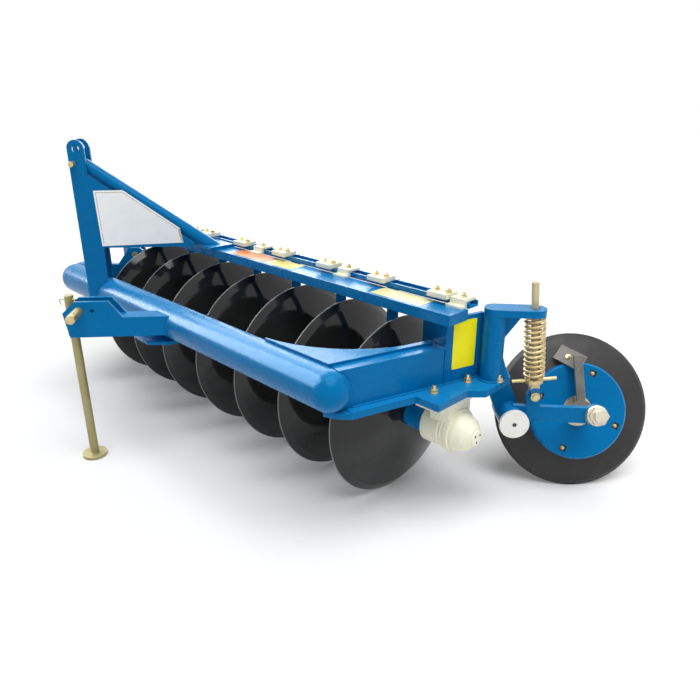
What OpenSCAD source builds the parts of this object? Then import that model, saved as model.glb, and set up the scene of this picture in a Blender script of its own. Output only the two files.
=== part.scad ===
// Disc ridge plough for a three-point hitch.
// A gang of dished discs turns in two end bearings under a frame of a round front
// tube, two side arms and a flat rear beam. The mast and the lower link brackets stand
// on the front, a cambered tail wheel follows at the rear left corner, and a round leg
// carries the front when the plough is parked.
// X points to the rear, Y to the right and Z up; the floor is at Z = 0.

/* [Discs] */
// Number of discs on the gang
disc_count = 7; // [5:1:8]
// Diameter of a disc
disc_d = 560; // [540:2:570]
// Thickness of a disc blade
disc_t = 6; // [4:0.5:8]
// Radius of the sphere that the discs are dished to
dish_r = 640; // [600:10:720]
// Distance between neighbouring discs along the shaft
disc_pitch = 226; // [216:2:240]
// Width of the sharpened band at a disc's rim
bevel_w = 22; // [10:1:30]
// Angle between the gang's shaft and the direction of travel
gang_angle = 50; // [48:1:53]

/* [Gang] */
// Side of the square shaft through the discs
shaft_w = 36; // [30:1:40]
// Diameter of the spools between the discs
spool_d = 92; // [76:2:104]
// Diameter of the bearing journals at the shaft's ends
journal_d = 50; // [40:1:60]
// Distance from an outer disc to the middle of its bearing
bearing_out = 195; // [190:1:205]

/* [Front tube] */
// Diameter of the front tube
tube_d = 114; // [100:1:120]
// Distance of the tube's axis in front of the discs' rims
tube_lead = 69; // [66:1:80]
// Height of the tube's axis above the gang's axis
tube_up = 188; // [184:1:194]
// Distance from an outer disc to the centre of the tube's round end
tube_out = 72; // [66:1:84]

/* [Side arms] */
// Width of a side arm
arm_w = 70; // [60:1:80]
// Height of the right side arm at its rear end, below the lower link
low_arm_h = 36; // [24:1:44]
// Angle between a side arm and the gang's shaft
arm_angle = 74; // [72:1:77]
// Distance from an outer disc to a side arm, above the shaft
arm_out = 152; // [148:1:158]
// Thickness of the corner plates on top of the tube and the arms
gusset_t = 8; // [5:1:12]
// Thickness of the base plates under the arms
plate_t = 20; // [14:1:24]

/* [Rear beam] */
// Width of the rear beam
beam_w = 80; // [70:1:90]
// Height of the rear beam
beam_h = 30; // [26:1:34]
// Clearance between the discs and the beam's underside
beam_gap = 45; // [42:1:52]
// Wall thickness of the beam
beam_wall = 5; // [3:0.5:8]
// Thickness of the plates of the end posts
post_t = 12; // [8:1:16]

/* [Hitch] */
// Distance between the outer faces of the two lower link brackets
hitch_span = 825; // [815:1:830]
// Diameter of the lower link pins
link_pin_d = 28; // [22:1:29]
// Height of the lower link pins above the tube's axis
link_up = 62; // [58:1:66]
// Height of the top link bore above the lower link pins
mast_h = 460; // [440:1:480]
// Diameter of the top link bore
top_bore_d = 25.7; // [19:0.1:28]
// Clear width between the two plates of the mast
mast_gap = 52; // [46:1:56]
// Thickness of the mast and bracket plates
hitch_t = 12; // [8:1:14]
// Diameter of the brace from the mast to the beam
brace_d = 48; // [38:1:50]

/* [Parking leg] */
// Diameter of the parking leg
leg_d = 28; // [22:1:30]
// Diameter of the leg's foot
foot_d = 80; // [60:1:100]

/* [Tail wheel] */
// Diameter of the tail wheel's blade
wheel_d = 484; // [470:2:490]
// Camber of the tail wheel
camber = 22; // [18:1:24]
// Angle of the tail wheel to the direction of travel
wheel_toe = 5; // [3:1:7]
// Diameter of the tail wheel's centre plate
hub_plate_d = 300; // [270:2:320]
// Diameter of the tail wheel's axle
axle_d = 36; // [28:1:40]
// Diameter of the post that carries the spring arm
tail_post_d = 62; // [54:1:64]
// Outer diameter of the spring
spring_d = 60; // [54:1:64]
// Diameter of the spring's wire
wire_d = 8; // [6:0.5:9]
// Number of coils in the spring
coil_count = 12; // [9:1:13]
// Diameter of the spring's rod
rod_d = 20; // [16:1:24]

/* [Scrapers] */
// Width of a scraper's shank
shank_w = 40; // [30:1:50]
// Thickness of a scraper's shank
shank_t = 8; // [6:1:10]

/* [Hidden] */
// Overrun of the cuts
over = 1;
// Gap at seated faces that are curved
seat_gap = 0.2;
// Radial clearance of the running fits
run_gap = 0.05;
// Clearance of bolts and of the square shaft in their holes
loose_gap = 0.5;
// Clearance of pieces that move past each other
move_gap = 6;

// Gang
disc_r = disc_d / 2;
axis_z = disc_r;
gang_half = (disc_count - 1) / 2 * disc_pitch;
dish_centre = sqrt(pow(dish_r, 2) - pow(disc_r, 2));
dish_depth = dish_r - dish_centre;
edge_t = 1.5;
spool_bore = shaft_w * sqrt(2) + 2 * loose_gap;
bearing_s = gang_half + bearing_out;
journal_in = 58;
journal_l = 110;
spool_end = bearing_s - journal_in - move_gap;

// Frame
tube_r = tube_d / 2;
tube_front = disc_r + tube_lead;
tube_z = axis_z + tube_up;
arm_inset = 2;
arm_h = tube_d - 2 * arm_inset;
tube_half = gang_half + tube_out;
seat_z = tube_z - arm_h / 2;
arm_s = gang_half + arm_out;
arm_l = tube_front / sin(arm_angle);
arm_start = 24;
post_front = 10;
post_w = 110;
post_l = 125;
slim_post_w = 44;
ledge_w = 26;
plate_start = 46;
pad_front = 132;
pad_rear = 118;
pad_in = 100;
pad_out = 58;
gusset_r = 372;
gusset_tip = 356;
gusset_in = 390;
gusset_back = 41;
gusset_front = 15;
gusset_end = 28;
beam_z = disc_d + beam_gap;
beam_out = 225;
beam_y = -29;
beam_half = gang_half + beam_out;
beam_top = beam_z + beam_h;

// Bearing housings
barrel_d = 122;
barrel_l = 96;
foot_l = 204;
foot_w = 84;
foot_t = 24;
neck_w = 64;
neck_l = 100;
ring_d = 130;
ring_l = 14;
cap_d = 112;
cap_edge = 10;
cap_mid_d = 94;
cap_mid = 34;
cap_end_d = 56;
cap_l = 54;

// Hitch
link_z = tube_z + link_up;
far_pin_out = 78.4;
far_pin_front = 72;
far_s = gang_half + far_pin_out;
pin_x = -far_s * cos(gang_angle) - far_pin_front * sin(gang_angle);
hitch_y = far_s * sin(gang_angle) - far_pin_front * cos(gang_angle) - hitch_span / 2;
left_y = hitch_y - hitch_span / 2;
right_y = hitch_y + hitch_span / 2;
pin_out = 85;
pin_hole_d = 10;
pin_step = 1;
pin_neck_d = link_pin_d - 2 * pin_step;
bracket_gap = 37;
bracket_front = 51;
bracket_nose = 12;
bracket_top = 30;
bracket_drop = 87;
bracket_foot = 34;
bracket_flat = 92;
bracket_step = 53;
bracket_slope = 39;
spare_hole = 41;
spare_hole_d = 14;
mast_lead = 40;
mast_w = 56;
mast_top_r = 28;
mast_foot = 18;
web_rise = 0.5;
web_nose = 24;
brace_up = 22;
brace_foot_l = 120;
brace_foot_w = 100;
brace_foot_in = 38;
brace_foot_t = 12;
brace_back = -40;
top_z = link_z + mast_h;
stop_d = 18;
stop_drop = 50;
stop_lead = 14;
stop_head = 28;

// Where the tube and the beam cross a line along X at a given Y
function tube_x(y) = -y / tan(gang_angle) - tube_front / sin(gang_angle);
function beam_x(y) = -y / tan(gang_angle) + beam_y / sin(gang_angle);
mast_x = tube_x(hitch_y) - mast_lead;
brace_x = beam_x(hitch_y) + brace_back;
brace_s = brace_x * cos(gang_angle) - hitch_y * sin(gang_angle);

// Parking leg
leg_lead = 34;
leg_rise = 45;
leg_x = pin_x - leg_lead;
leg_y = left_y + hitch_t + bracket_gap / 2;
leg_foot_t = 10;
sleeve_l = 66;

// Tail wheel: places from the left arm's end above the shaft, along the wheel's direction
wheel_r = wheel_d / 2;
wheel_at = [452, 184];
wheel_t = 6;
wheel_dish_r = 570;
wheel_bevel = 12;
wheel_centre = sqrt(pow(wheel_dish_r, 2) - pow(wheel_r, 2));
wheel_edge = wheel_centre - sqrt(pow(wheel_dish_r - wheel_t, 2) - pow(wheel_r, 2));
wheel_z = wheel_r * cos(camber) + wheel_edge * sin(camber);
hub_face = 68;
hub_edge = 6;
hub_d = 96;
hub_back = -24;
square_w = 20;
square_r = 124;
axle_back = -30;
nut_d = 56;
nut_t = 24;
pivot_back = 213;
pivot_up = 13;
pivot_at = [pivot_back, axis_z + pivot_up];
pivot_d = 76;
pivot_pin_d = 36;
pivot_in = 84;
pivot_out = 34;
pivot_cap_d = 84;
pivot_cap_t = 12;
swing_w = 48;
swing_t = 16;
swing_up = 18;
nut_out = (wheel_at[1] + swing_t / 2) / cos(camber) + nut_d / 2 * tan(camber) + seat_gap;
axle_end = 14;
tail_at = [144, 8];
spring_arm_t = 20;
rod_at = [248, -3];
rod_high = 72;
lug_back = 270.5;
lug_up = 88;
lug_at = [lug_back, axis_z + lug_up];
lug_d = 40;
lug_t = 14;
lug_pin_d = 16;
fork_t = 8;
seat_d = 50;
seat_t = 12;
seat_up = 40;
handle_d = 10;
handle_l = 62;
brace_t = 10;
brace_h = 66;
brace_l = 46;
hanger_t = 14;
plate_tail = [206, 18];
plate_tail_in = 96;
plate_nose = [119, -75];
strap_w = 26;
strap_t = 8;
strap_out = 96;
strap_h = 172;
strap_lean = 8;
wiper_at = [11, 162];
wiper_l = 92;
wiper_w = 50;
wiper_t = 6;
wiper_turn = 145;
wiper_dip = 42.6;
arm_end = [arm_s * cos(gang_angle), -arm_s * sin(gang_angle)];

// Scrapers
bar_y = 35;
bar_w = 40;
bar_h = 16;
clamp_front = 25;
bar_wall = 5;
bar_half = beam_half;
clamp_l = 64;
clamp_w = 54;
clamp_t = 14;
clamp_in = 93;
bracket_l = 50;
bracket_t = 8;
bracket_lap = 26;
bar_bracket_gap = 2;
bar_bracket_count = 5;
shank_up = 194;
shank_end = axis_z + shank_up;
blade_l = 38;
shank_in = 81;
blade_lean = 34;

// The box of the whole plough, for the origin under its middle
box_front = -tube_half * cos(gang_angle) - tube_front * sin(gang_angle) - tube_r;
box_left = -tube_half * sin(gang_angle) - tube_front * cos(gang_angle) - tube_r;
box_right = (bearing_s + pad_out) * sin(gang_angle) + pad_rear * cos(gang_angle);
box_rear = arm_end[0] + wheel_at[0] * cos(wheel_toe) + wheel_at[1] * sin(wheel_toe)
    + wheel_r * sqrt(1 - pow(cos(camber) * sin(wheel_toe), 2));
mid_x = (box_front + box_rear) / 2;
mid_y = (box_left + box_right) / 2;

// Frames

// Moves what is drawn from the floor under the gang's middle to the plough's origin
module placed() {
    translate([-mid_x, -mid_y, 0]) children();
}

// Along the gang: X runs along the shaft to the rear left end, Y to the rear
module along_gang() {
    placed() rotate([0, 0, -gang_angle]) children();
}

// Along one end of the gang, with X outward
module along_end(side) {
    along_gang() mirror([side < 0 ? 1 : 0, 0, 0]) children();
}

// Along a side arm: X runs to its rear end above the shaft, -Y is its outer side
module along_arm(side) {
    along_end(side) translate([arm_s, 0, 0]) rotate([0, 0, arm_angle]) children();
}

// Along the tail wheel's direction, from the left arm's end
module along_tail() {
    placed() translate(arm_end) rotate([0, 0, -wheel_toe]) children();
}

// On the tail axle: Z runs out along the axle to the left, Y up the wheel
module on_axle() {
    along_tail() translate([wheel_at[0], wheel_at[1], wheel_z])
        rotate([90 - camber, 0, 0]) children();
}

// Turns what is drawn along Z to lie along X
module lying() {
    rotate([0, 90, 0]) children();
}

// Turns a flat outline to stand along X, with its thickness to the left
module upright(thick) {
    rotate([90, 0, 0]) linear_extrude(thick) children();
}

function disc_s(i) = (i - (disc_count + 1) / 2) * disc_pitch;

// Gang

// Half section of a dished blade, with its sharp edge on the convex side
module blade_section(outer_r, sphere_r, thick, bevel) {
    centre = sqrt(pow(sphere_r, 2) - pow(outer_r, 2));
    edge_low = sqrt(pow(sphere_r - thick, 2) - pow(outer_r, 2)) - centre;
    bevel_high = sqrt(pow(sphere_r, 2) - pow(outer_r - bevel, 2)) - centre;
    steep = (bevel_high - edge_low - edge_t) / bevel;
    intersection() {
        translate([0, -centre]) difference() {
            circle(r = sphere_r, $fn = 720);
            circle(r = sphere_r - thick, $fn = 720);
        }
        polygon([
            [0, edge_low - over],
            [outer_r, edge_low - over],
            [outer_r, edge_low + edge_t],
            [0, edge_low + edge_t + steep * outer_r],
        ]);
    }
}

module disc(i) {
    hole_w = shaft_w + loose_gap;
    color("dimgray") along_gang() translate([disc_s(i), 0, axis_z]) lying() difference() {
        rotate_extrude($fn = 120) blade_section(disc_r, dish_r, disc_t, bevel_w);
        translate([0, 0, dish_depth]) cube([hole_w, hole_w, 4 * disc_t], center = true);
    }
}

module gang_shaft() {
    color("gray") along_gang() translate([0, 0, axis_z]) {
        cube([2 * spool_end, shaft_w, shaft_w], center = true);
        for (side = [-1, 1])
            translate([side * (spool_end - over), 0, 0]) rotate([0, side * 90, 0])
                cylinder(d = journal_d, h = journal_l + over, $fn = 64);
    }
}

module spool(from_s, to_s) {
    translate([from_s, 0, 0]) lying() difference() {
        cylinder(d = spool_d, h = to_s - from_s, $fn = 64);
        translate([0, 0, -over]) cylinder(d = spool_bore, h = to_s - from_s + 2 * over, $fn = 48);
    }
}

// Spools from each disc's convex face to the next disc's hollow face
module spools() {
    convex_s = sqrt(pow(dish_r, 2) - pow(spool_bore / 2, 2)) - dish_centre + seat_gap;
    hollow_s = sqrt(pow(dish_r - disc_t, 2) - pow(spool_d / 2, 2)) - dish_centre - seat_gap;
    color("royalblue") along_gang() translate([0, 0, axis_z]) {
        spool(-spool_end, disc_s(1) + hollow_s);
        for (i = [1 : disc_count - 1]) spool(disc_s(i) + convex_s, disc_s(i + 1) + hollow_s);
        spool(disc_s(disc_count) + convex_s, spool_end);
    }
}

// Frame

// The front tube with round ends, grown by a gap where other pieces are cut to it
module tube_solid(gap) {
    translate([0, -tube_front, tube_z]) lying() rotate_extrude($fn = 96) intersection() {
        union() {
            translate([0, -tube_half]) square([tube_r + gap, 2 * tube_half]);
            for (side = [-1, 1])
                translate([0, side * tube_half]) circle(r = tube_r + gap, $fn = 96);
        }
        translate([0, -tube_half - tube_d]) square([tube_d, 2 * (tube_half + tube_d)]);
    }
}

module front_tube() {
    color("dodgerblue") along_gang() tube_solid(0);
}

// A side arm from the tube to its end post, with its top level or falling to the rear
module side_arm(side, rear_h) {
    color("dodgerblue") difference() {
        along_arm(side) translate([0, arm_w / 2, seat_z]) upright(arm_w)
            polygon([
                [-arm_l + arm_start, 0],
                [-post_front, 0],
                [-post_front, rear_h],
                [-arm_l + tube_r, arm_h],
                [-arm_l + arm_start, arm_h],
            ]);
        along_gang() tube_solid(seat_gap);
    }
}

// Corner plate on the left arm and behind the tube, with a round hollow inner edge
module corner_gusset() {
    front_y = -tube_front + gusset_front;
    color("dodgerblue") along_gang() translate([arm_s, 0, seat_z + arm_h + seat_gap])
        linear_extrude(gusset_t) difference() {
            polygon([
                [-gusset_tip, front_y],
                [front_y / tan(arm_angle), front_y],
                [-gusset_end / tan(arm_angle), -gusset_end],
                [-gusset_tip, -gusset_end],
            ]);
            translate([-gusset_in, gusset_back]) circle(r = gusset_r, $fn = 180);
        }
}

module base_plate(side) {
    color("dodgerblue") translate([0, 0, seat_z - plate_t]) linear_extrude(plate_t) union() {
        along_arm(side) translate([-arm_l + plate_start, -arm_w / 2 - ledge_w])
            square([arm_l - plate_start, arm_w + ledge_w]);
        along_end(side) translate([bearing_s - pad_in, -pad_front])
            square([pad_in + pad_out, pad_front + pad_rear]);
        if (side > 0) along_tail() polygon([
            [0, plate_nose[1]],
            plate_nose,
            plate_tail,
            [plate_tail[0], plate_tail_in],
            [0, plate_tail_in],
        ]);
    }
}

post_h = beam_z - seat_z - seat_gap;

// Left end post: a plate across the arm's end and a plate along its outer side
module left_post() {
    color("dodgerblue") along_arm(1) translate([-post_front, -arm_w / 2, seat_z]) {
        cube([post_t, post_w, post_h]);
        cube([post_l, post_t, post_h]);
    }
}

// Right end post: a slim flat bar under the beam's front edge, clear of the lower link
module right_post() {
    color("dodgerblue") along_end(-1)
        translate([beam_half - slim_post_w, beam_y - beam_w / 2, seat_z])
            cube([slim_post_w, post_t, post_h]);
}

module rear_beam() {
    inner_w = beam_w - 2 * beam_wall;
    inner_h = beam_h - 2 * beam_wall;
    color("dodgerblue") along_gang() translate([0, beam_y, beam_z + beam_h / 2]) difference() {
        cube([2 * beam_half, beam_w, beam_h], center = true);
        cube([2 * (beam_half - beam_wall), inner_w, inner_h], center = true);
    }
}

// Bearing housing with its foot under the base plate and a round cap
module bearing_housing(side) {
    under_z = seat_z - plate_t;
    color("oldlace") along_end(side) translate([bearing_s, 0, 0]) difference() {
        union() {
            translate([-foot_w / 2, -foot_l / 2, under_z - foot_t]) cube([foot_w, foot_l, foot_t]);
            translate([-neck_w / 2, -neck_l / 2, axis_z]) cube([neck_w, neck_l, under_z - foot_t - axis_z]);
            translate([-journal_in, 0, axis_z]) lying() rotate_extrude($fn = 96)
                polygon([
                    [0, 0],
                    [barrel_d / 2, 0],
                    [barrel_d / 2, barrel_l - ring_l],
                    [ring_d / 2, barrel_l - ring_l],
                    [ring_d / 2, barrel_l],
                    [cap_d / 2, barrel_l],
                    [cap_d / 2, barrel_l + cap_edge],
                    [cap_mid_d / 2, barrel_l + cap_mid],
                    [cap_end_d / 2, barrel_l + cap_l],
                    [0, barrel_l + cap_l],
                ]);
        }
        translate([-journal_in - over, 0, axis_z]) lying()
            cylinder(d = journal_d + 2 * run_gap, h = journal_l + over + loose_gap, $fn = 64);
    }
}

// Hitch

brace_rise = atan2(top_z - beam_top - brace_up - brace_foot_t - mast_top_r, brace_x - mast_x);

// The round brace from the mast's head down to the beam, grown by a gap
module brace_solid(gap) {
    drop = (brace_x - mast_x) * tan(brace_rise);
    translate([brace_x, hitch_y, beam_top + brace_foot_t + seat_gap]) difference() {
        rotate([0, brace_rise - 90, 0]) translate([0, 0, -brace_d])
            cylinder(d = brace_d + 2 * gap, h = norm([brace_x - mast_x, drop]) + brace_d, $fn = 64);
        translate([-2 * brace_d, -brace_d, -2 * brace_d - gap])
            cube([4 * brace_d, 2 * brace_d, 2 * brace_d]);
    }
}

// Outline of a mast plate with its web under the brace, from the mast's foot
module mast_outline() {
    head_z = top_z - tube_z;
    web_x = brace_x - mast_x - web_nose * 2;
    web_z = beam_top + brace_foot_t + web_rise - tube_z;
    difference() {
        union() {
            translate([-mast_w / 2, 0]) square([mast_w, head_z]);
            translate([0, head_z]) circle(r = mast_top_r, $fn = 64);
            polygon([
                [0, web_z],
                [web_x, web_z],
                [web_x, web_z + web_nose / 2],
                [mast_w / 2, web_z + web_nose / 2 + (web_x - mast_w / 2) * tan(brace_rise)],
                [0, web_z + web_nose / 2 + (web_x - mast_w / 2) * tan(brace_rise)],
            ]);
            polygon([
                [0, 0],
                [mast_w / 2 + mast_foot, 0],
                [mast_w / 2 + mast_foot, web_z],
                [0, web_z],
            ]);
        }
        translate([0, head_z]) circle(d = top_bore_d, $fn = 64);
        translate([-stop_lead, head_z - stop_drop]) circle(d = stop_d + 2 * seat_gap, $fn = 48);
    }
}

module mast() {
    color("steelblue") placed() difference() {
        for (side = [-1, 1])
            translate([mast_x, hitch_y + side * (mast_gap + hitch_t) / 2 + hitch_t / 2, tube_z])
                upright(hitch_t) mast_outline();
        rotate([0, 0, -gang_angle]) tube_solid(seat_gap);
    }
}

module mast_brace() {
    color("dodgerblue") placed() brace_solid(0);
}

module brace_foot() {
    color("dodgerblue") along_gang()
        translate([brace_s - brace_foot_l / 2, beam_y + brace_foot_in - brace_foot_w, beam_top])
            cube([brace_foot_l, brace_foot_w, brace_foot_t]);
}

// Bolt across the mast below the top link bore
module stop_bolt() {
    out = mast_gap / 2 + hitch_t;
    color("goldenrod") placed() translate([mast_x - stop_lead, hitch_y, top_z - stop_drop])
        rotate([90, 0, 0]) cylinder(d = stop_d, h = 2 * (out + stop_head), center = true, $fn = 48);
}

// Outline of the left bracket's plate, from its pin
module bracket_outline(reach) {
    difference() {
        polygon([
            [-bracket_front + bracket_nose, -bracket_drop],
            [reach, -bracket_drop],
            [reach, bracket_top - bracket_step],
            [bracket_flat + bracket_slope, bracket_top - bracket_step],
            [bracket_flat, bracket_top],
            [-bracket_nose, bracket_top],
            [-bracket_front, -bracket_nose / 2],
        ]);
        circle(d = pin_neck_d + 2 * seat_gap, $fn = 64);
        translate([spare_hole, 0]) circle(d = spare_hole_d, $fn = 48);
    }
}

module left_link_bracket() {
    reach = tube_x(left_y) - pin_x;
    color("steelblue") placed() difference() {
        translate([pin_x, left_y, link_z]) {
            for (v = [0, hitch_t + bracket_gap])
                translate([0, v + hitch_t, 0]) upright(hitch_t) bracket_outline(reach);
            for (w = [-bracket_drop, bracket_top - bracket_step - hitch_t])
                translate([bracket_flat, over, w])
                    cube([reach - bracket_flat, 2 * hitch_t + bracket_gap - 2 * over, hitch_t]);
        }
        rotate([0, 0, -gang_angle]) tube_solid(seat_gap);
    }
}

module right_link_bracket() {
    low_z = seat_z + low_arm_h / 2 - link_z;
    color("steelblue") difference() {
        placed() translate([pin_x, right_y, link_z])
            for (v = [0, -hitch_t - bracket_gap])
                translate([0, v, 0]) upright(hitch_t) difference() {
                    polygon([
                        [-bracket_front - bracket_foot, low_z],
                        [bracket_foot, low_z],
                        [bracket_foot, bracket_top - bracket_nose],
                        [bracket_foot - bracket_nose, bracket_top],
                        [-bracket_foot + bracket_nose, bracket_top],
                        [-bracket_front - bracket_foot, -bracket_step],
                    ]);
                    circle(d = pin_neck_d + 2 * seat_gap, $fn = 64);
                }
        along_arm(-1) translate([0, arm_w / 2 + seat_gap, seat_z]) upright(arm_w + 2 * seat_gap)
            polygon([
                [-arm_l, 0],
                [-post_front, 0],
                [-post_front, low_arm_h + seat_gap],
                [-arm_l + tube_r, arm_h + seat_gap],
                [-arm_l, arm_h + seat_gap],
            ]);
        along_gang() tube_solid(seat_gap);
    }
}

// A lower link pin through both plates of its bracket, standing out to its own side
module link_pin(side) {
    inner = 2 * hitch_t + bracket_gap;
    color("goldenrod") placed() translate([pin_x, side < 0 ? left_y : right_y, link_z])
        rotate([-side * 90, 0, 0]) difference() {
            union() {
                translate([0, 0, -inner]) cylinder(d = pin_neck_d, h = inner + pin_out, $fn = 64);
                cylinder(d = link_pin_d, h = pin_out, $fn = 64);
            }
            translate([0, 0, pin_out - pin_hole_d]) lying()
                cylinder(d = pin_hole_d, h = 2 * link_pin_d, center = true, $fn = 32);
        }
}

module leg_sleeve() {
    color("steelblue") placed() translate([leg_x, leg_y, link_z - bracket_drop]) difference() {
        cylinder(d = bracket_gap - 2 * seat_gap, h = sleeve_l, $fn = 64);
        translate([0, 0, -over]) cylinder(d = leg_d + 2 * run_gap, h = sleeve_l + 2 * over, $fn = 64);
    }
}

module parking_leg() {
    color("darkkhaki") placed() translate([leg_x, leg_y, 0]) {
        cylinder(d = leg_d, h = link_z + leg_rise, $fn = 64);
        cylinder(d = foot_d, h = leg_foot_t, $fn = 64);
    }
}

// Scrapers

module scraper_bar() {
    color("royalblue") along_gang() translate([-bar_half, bar_y - bar_w / 2, beam_top]) difference() {
        cube([2 * bar_half, bar_w, bar_h]);
        translate([-over, bar_wall, bar_wall]) cube([2 * (bar_half + over), bar_w - 2 * bar_wall, bar_h]);
    }
}

// A scraper hangs between two discs and reaches into the hollow side of the next one
module scraper(i) {
    top = beam_top + bar_h;
    shank_y = bar_y + bar_w / 2 + seat_gap;
    color("royalblue") along_gang() translate([disc_s(i) - shank_in, shank_y, 0]) {
        translate([-shank_w / 2, 0, shank_end]) cube([shank_w, shank_t, top - shank_end]);
        translate([-shank_w / 2, 0, shank_end]) rotate([0, 0, -blade_lean / 8])
            cube([shank_w + blade_l, shank_t, shank_w]);
    }
}

module scraper_clamps() {
    front_y = bar_y - bar_w / 2 - clamp_front;
    color("oldlace") along_gang() for (i = [1 : disc_count + 1])
        translate([disc_s(i) - clamp_in - clamp_l / 2, front_y, beam_top + bar_h])
            cube([clamp_l, clamp_w, clamp_t]);
}

module bar_brackets() {
    last_clamp = disc_s(disc_count + 1) - clamp_in;
    half = last_clamp + (clamp_l + bracket_l) / 2 + bar_bracket_gap;
    step = 2 * half / (bar_bracket_count - 1);
    color("oldlace") along_gang() for (k = [0 : bar_bracket_count - 1])
        translate([k * step - half - bracket_l / 2, bar_y - bar_w / 2 - bracket_lap, beam_top]) {
            cube([bracket_l, bracket_lap - seat_gap, bracket_t]);
            translate([0, bracket_lap - bracket_t - seat_gap, 0])
                cube([bracket_l, bracket_t, bar_h + bracket_t]);
            translate([0, bracket_lap - bracket_t - seat_gap, bar_h])
                cube([bracket_l, bracket_t + bar_w, bracket_t]);
        }
}

// Tail wheel

module tail_post() {
    post_h = beam_z - seat_z;
    color("dodgerblue") along_tail() translate([tail_at[0], tail_at[1], seat_z]) {
        cylinder(d = tail_post_d, h = post_h, $fn = 64);
        translate([0, brace_t / 2, 0]) upright(brace_t)
            polygon([[0, 0], [tail_post_d / 2 + brace_l / 2, 0], [tail_post_d / 2, brace_h], [0, brace_h]]);
        translate([0, brace_t / 2, post_h - brace_h]) upright(brace_t)
            polygon([[0, 0], [tail_post_d / 2, 0], [tail_post_d / 2 + brace_l, brace_h], [0, brace_h]]);
    }
}

module spring_arm() {
    away = rod_at - tail_at;
    color("dodgerblue") along_tail() translate([tail_at[0], tail_at[1], beam_z])
        rotate([0, 0, atan2(away[1], away[0])]) linear_extrude(spring_arm_t) difference() {
            union() {
                circle(d = tail_post_d, $fn = 64);
                translate([0, -tail_post_d / 2]) square([norm(away), tail_post_d]);
                translate([norm(away), 0]) circle(d = tail_post_d, $fn = 64);
            }
            translate([norm(away), 0]) circle(d = rod_d + 2 * move_gap / 2, $fn = 48);
        }
}

arm_top_z = beam_z;
rod_lean = atan2(lug_at[0] - rod_at[0], arm_top_z + spring_arm_t / 2 - lug_at[1]);
rod_l = (arm_top_z + spring_arm_t + rod_high - lug_at[1]) / cos(rod_lean);

// On the spring's rod: Z runs up the rod from the pin in its fork
module on_rod() {
    along_tail() translate([lug_at[0], rod_at[1], lug_at[1]]) rotate([0, -rod_lean, 0]) children();
}

module spring_rod() {
    fork_in = lug_t / 2 + 2 * loose_gap;
    color("darkkhaki") on_rod() {
        translate([0, 0, lug_d / 2 + loose_gap])
            cylinder(d = rod_d, h = rod_l - lug_d / 2 - loose_gap, $fn = 48);
        for (side = [-1, 1]) translate([0, side * (fork_in + fork_t / 2) + fork_t / 2, 0])
            upright(fork_t) {
                circle(d = lug_d - 2 * fork_t, $fn = 48);
                translate([-lug_d / 2 + fork_t, 0]) square([lug_d - 2 * fork_t, lug_d / 2 + fork_t]);
            }
        translate([0, 0, lug_d / 2 + fork_t])
            cube([lug_d - 2 * fork_t, 2 * (fork_in + fork_t), 2 * fork_t - 2 * loose_gap], center = true);
        rotate([90, 0, 0]) cylinder(d = lug_pin_d, h = 2 * (fork_in + 2 * fork_t), center = true, $fn = 32);
    }
}

module spring_seat() {
    color("darkkhaki") on_rod() translate([0, 0, seat_up]) difference() {
        union() {
            cylinder(d = seat_d, h = seat_t, $fn = 64);
            for (side = [-1, 1]) translate([0, 0, seat_t / 2]) rotate([0, side * 90, 0])
                cylinder(d = handle_d, h = handle_l, $fn = 32);
        }
        translate([0, 0, -over]) cylinder(d = rod_d + 2 * run_gap, h = seat_t + 2 * over, $fn = 48);
    }
}

// The coil as one round wire wound up the rod
module spring() {
    low = seat_up + seat_t + wire_d / 2 + seat_gap;
    high = (arm_top_z - lug_at[1]) / cos(rod_lean) - wire_d / 2 - sin(rod_lean) * spring_d / 2 - loose_gap;
    wind_r = (spring_d - wire_d) / 2;
    turn_steps = 20;
    steps = coil_count * turn_steps;
    ring_steps = 8;
    function spot(k, j) = let (
        turn = 360 * k / turn_steps,
        out = wind_r + wire_d / 2 * cos(360 * j / ring_steps),
        up = low + (high - low) * k / steps + wire_d / 2 * sin(360 * j / ring_steps))
        [out * cos(turn), out * sin(turn), up];
    points = [for (k = [0 : steps]) for (j = [0 : ring_steps - 1]) spot(k, j)];
    faces = concat(
        [[for (j = [0 : ring_steps - 1]) j]],
        [for (k = [0 : steps - 1]) for (j = [0 : ring_steps - 1]) let (n = (j + 1) % ring_steps)
            [k * ring_steps + j, (k + 1) * ring_steps + j, (k + 1) * ring_steps + n, k * ring_steps + n]],
        [[for (j = [ring_steps - 1 : -1 : 0]) steps * ring_steps + j]]);
    color("goldenrod") on_rod() polyhedron(points, faces);
}

module pivot_hanger() {
    top = seat_z - plate_t - pivot_at[1] - seat_gap;
    color("dodgerblue") along_tail() translate([pivot_at[0], 0, pivot_at[1]]) difference() {
        union() {
            translate([0, pivot_in, 0]) rotate([90, 0, 0])
                cylinder(d = pivot_d, h = pivot_in - swing_t, $fn = 64);
            translate([0, pivot_in / 2 + hanger_t, 0]) upright(2 * hanger_t)
                polygon([
                    [-pivot_d / 2, 0],
                    [pivot_d / 2, 0],
                    [plate_tail[0] - pivot_at[0], top],
                    [-pivot_d, top],
                ]);
        }
        translate([0, pivot_in + over, 0]) rotate([90, 0, 0])
            cylinder(d = pivot_pin_d + 2 * seat_gap, h = 2 * pivot_in, $fn = 64);
    }
}

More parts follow.
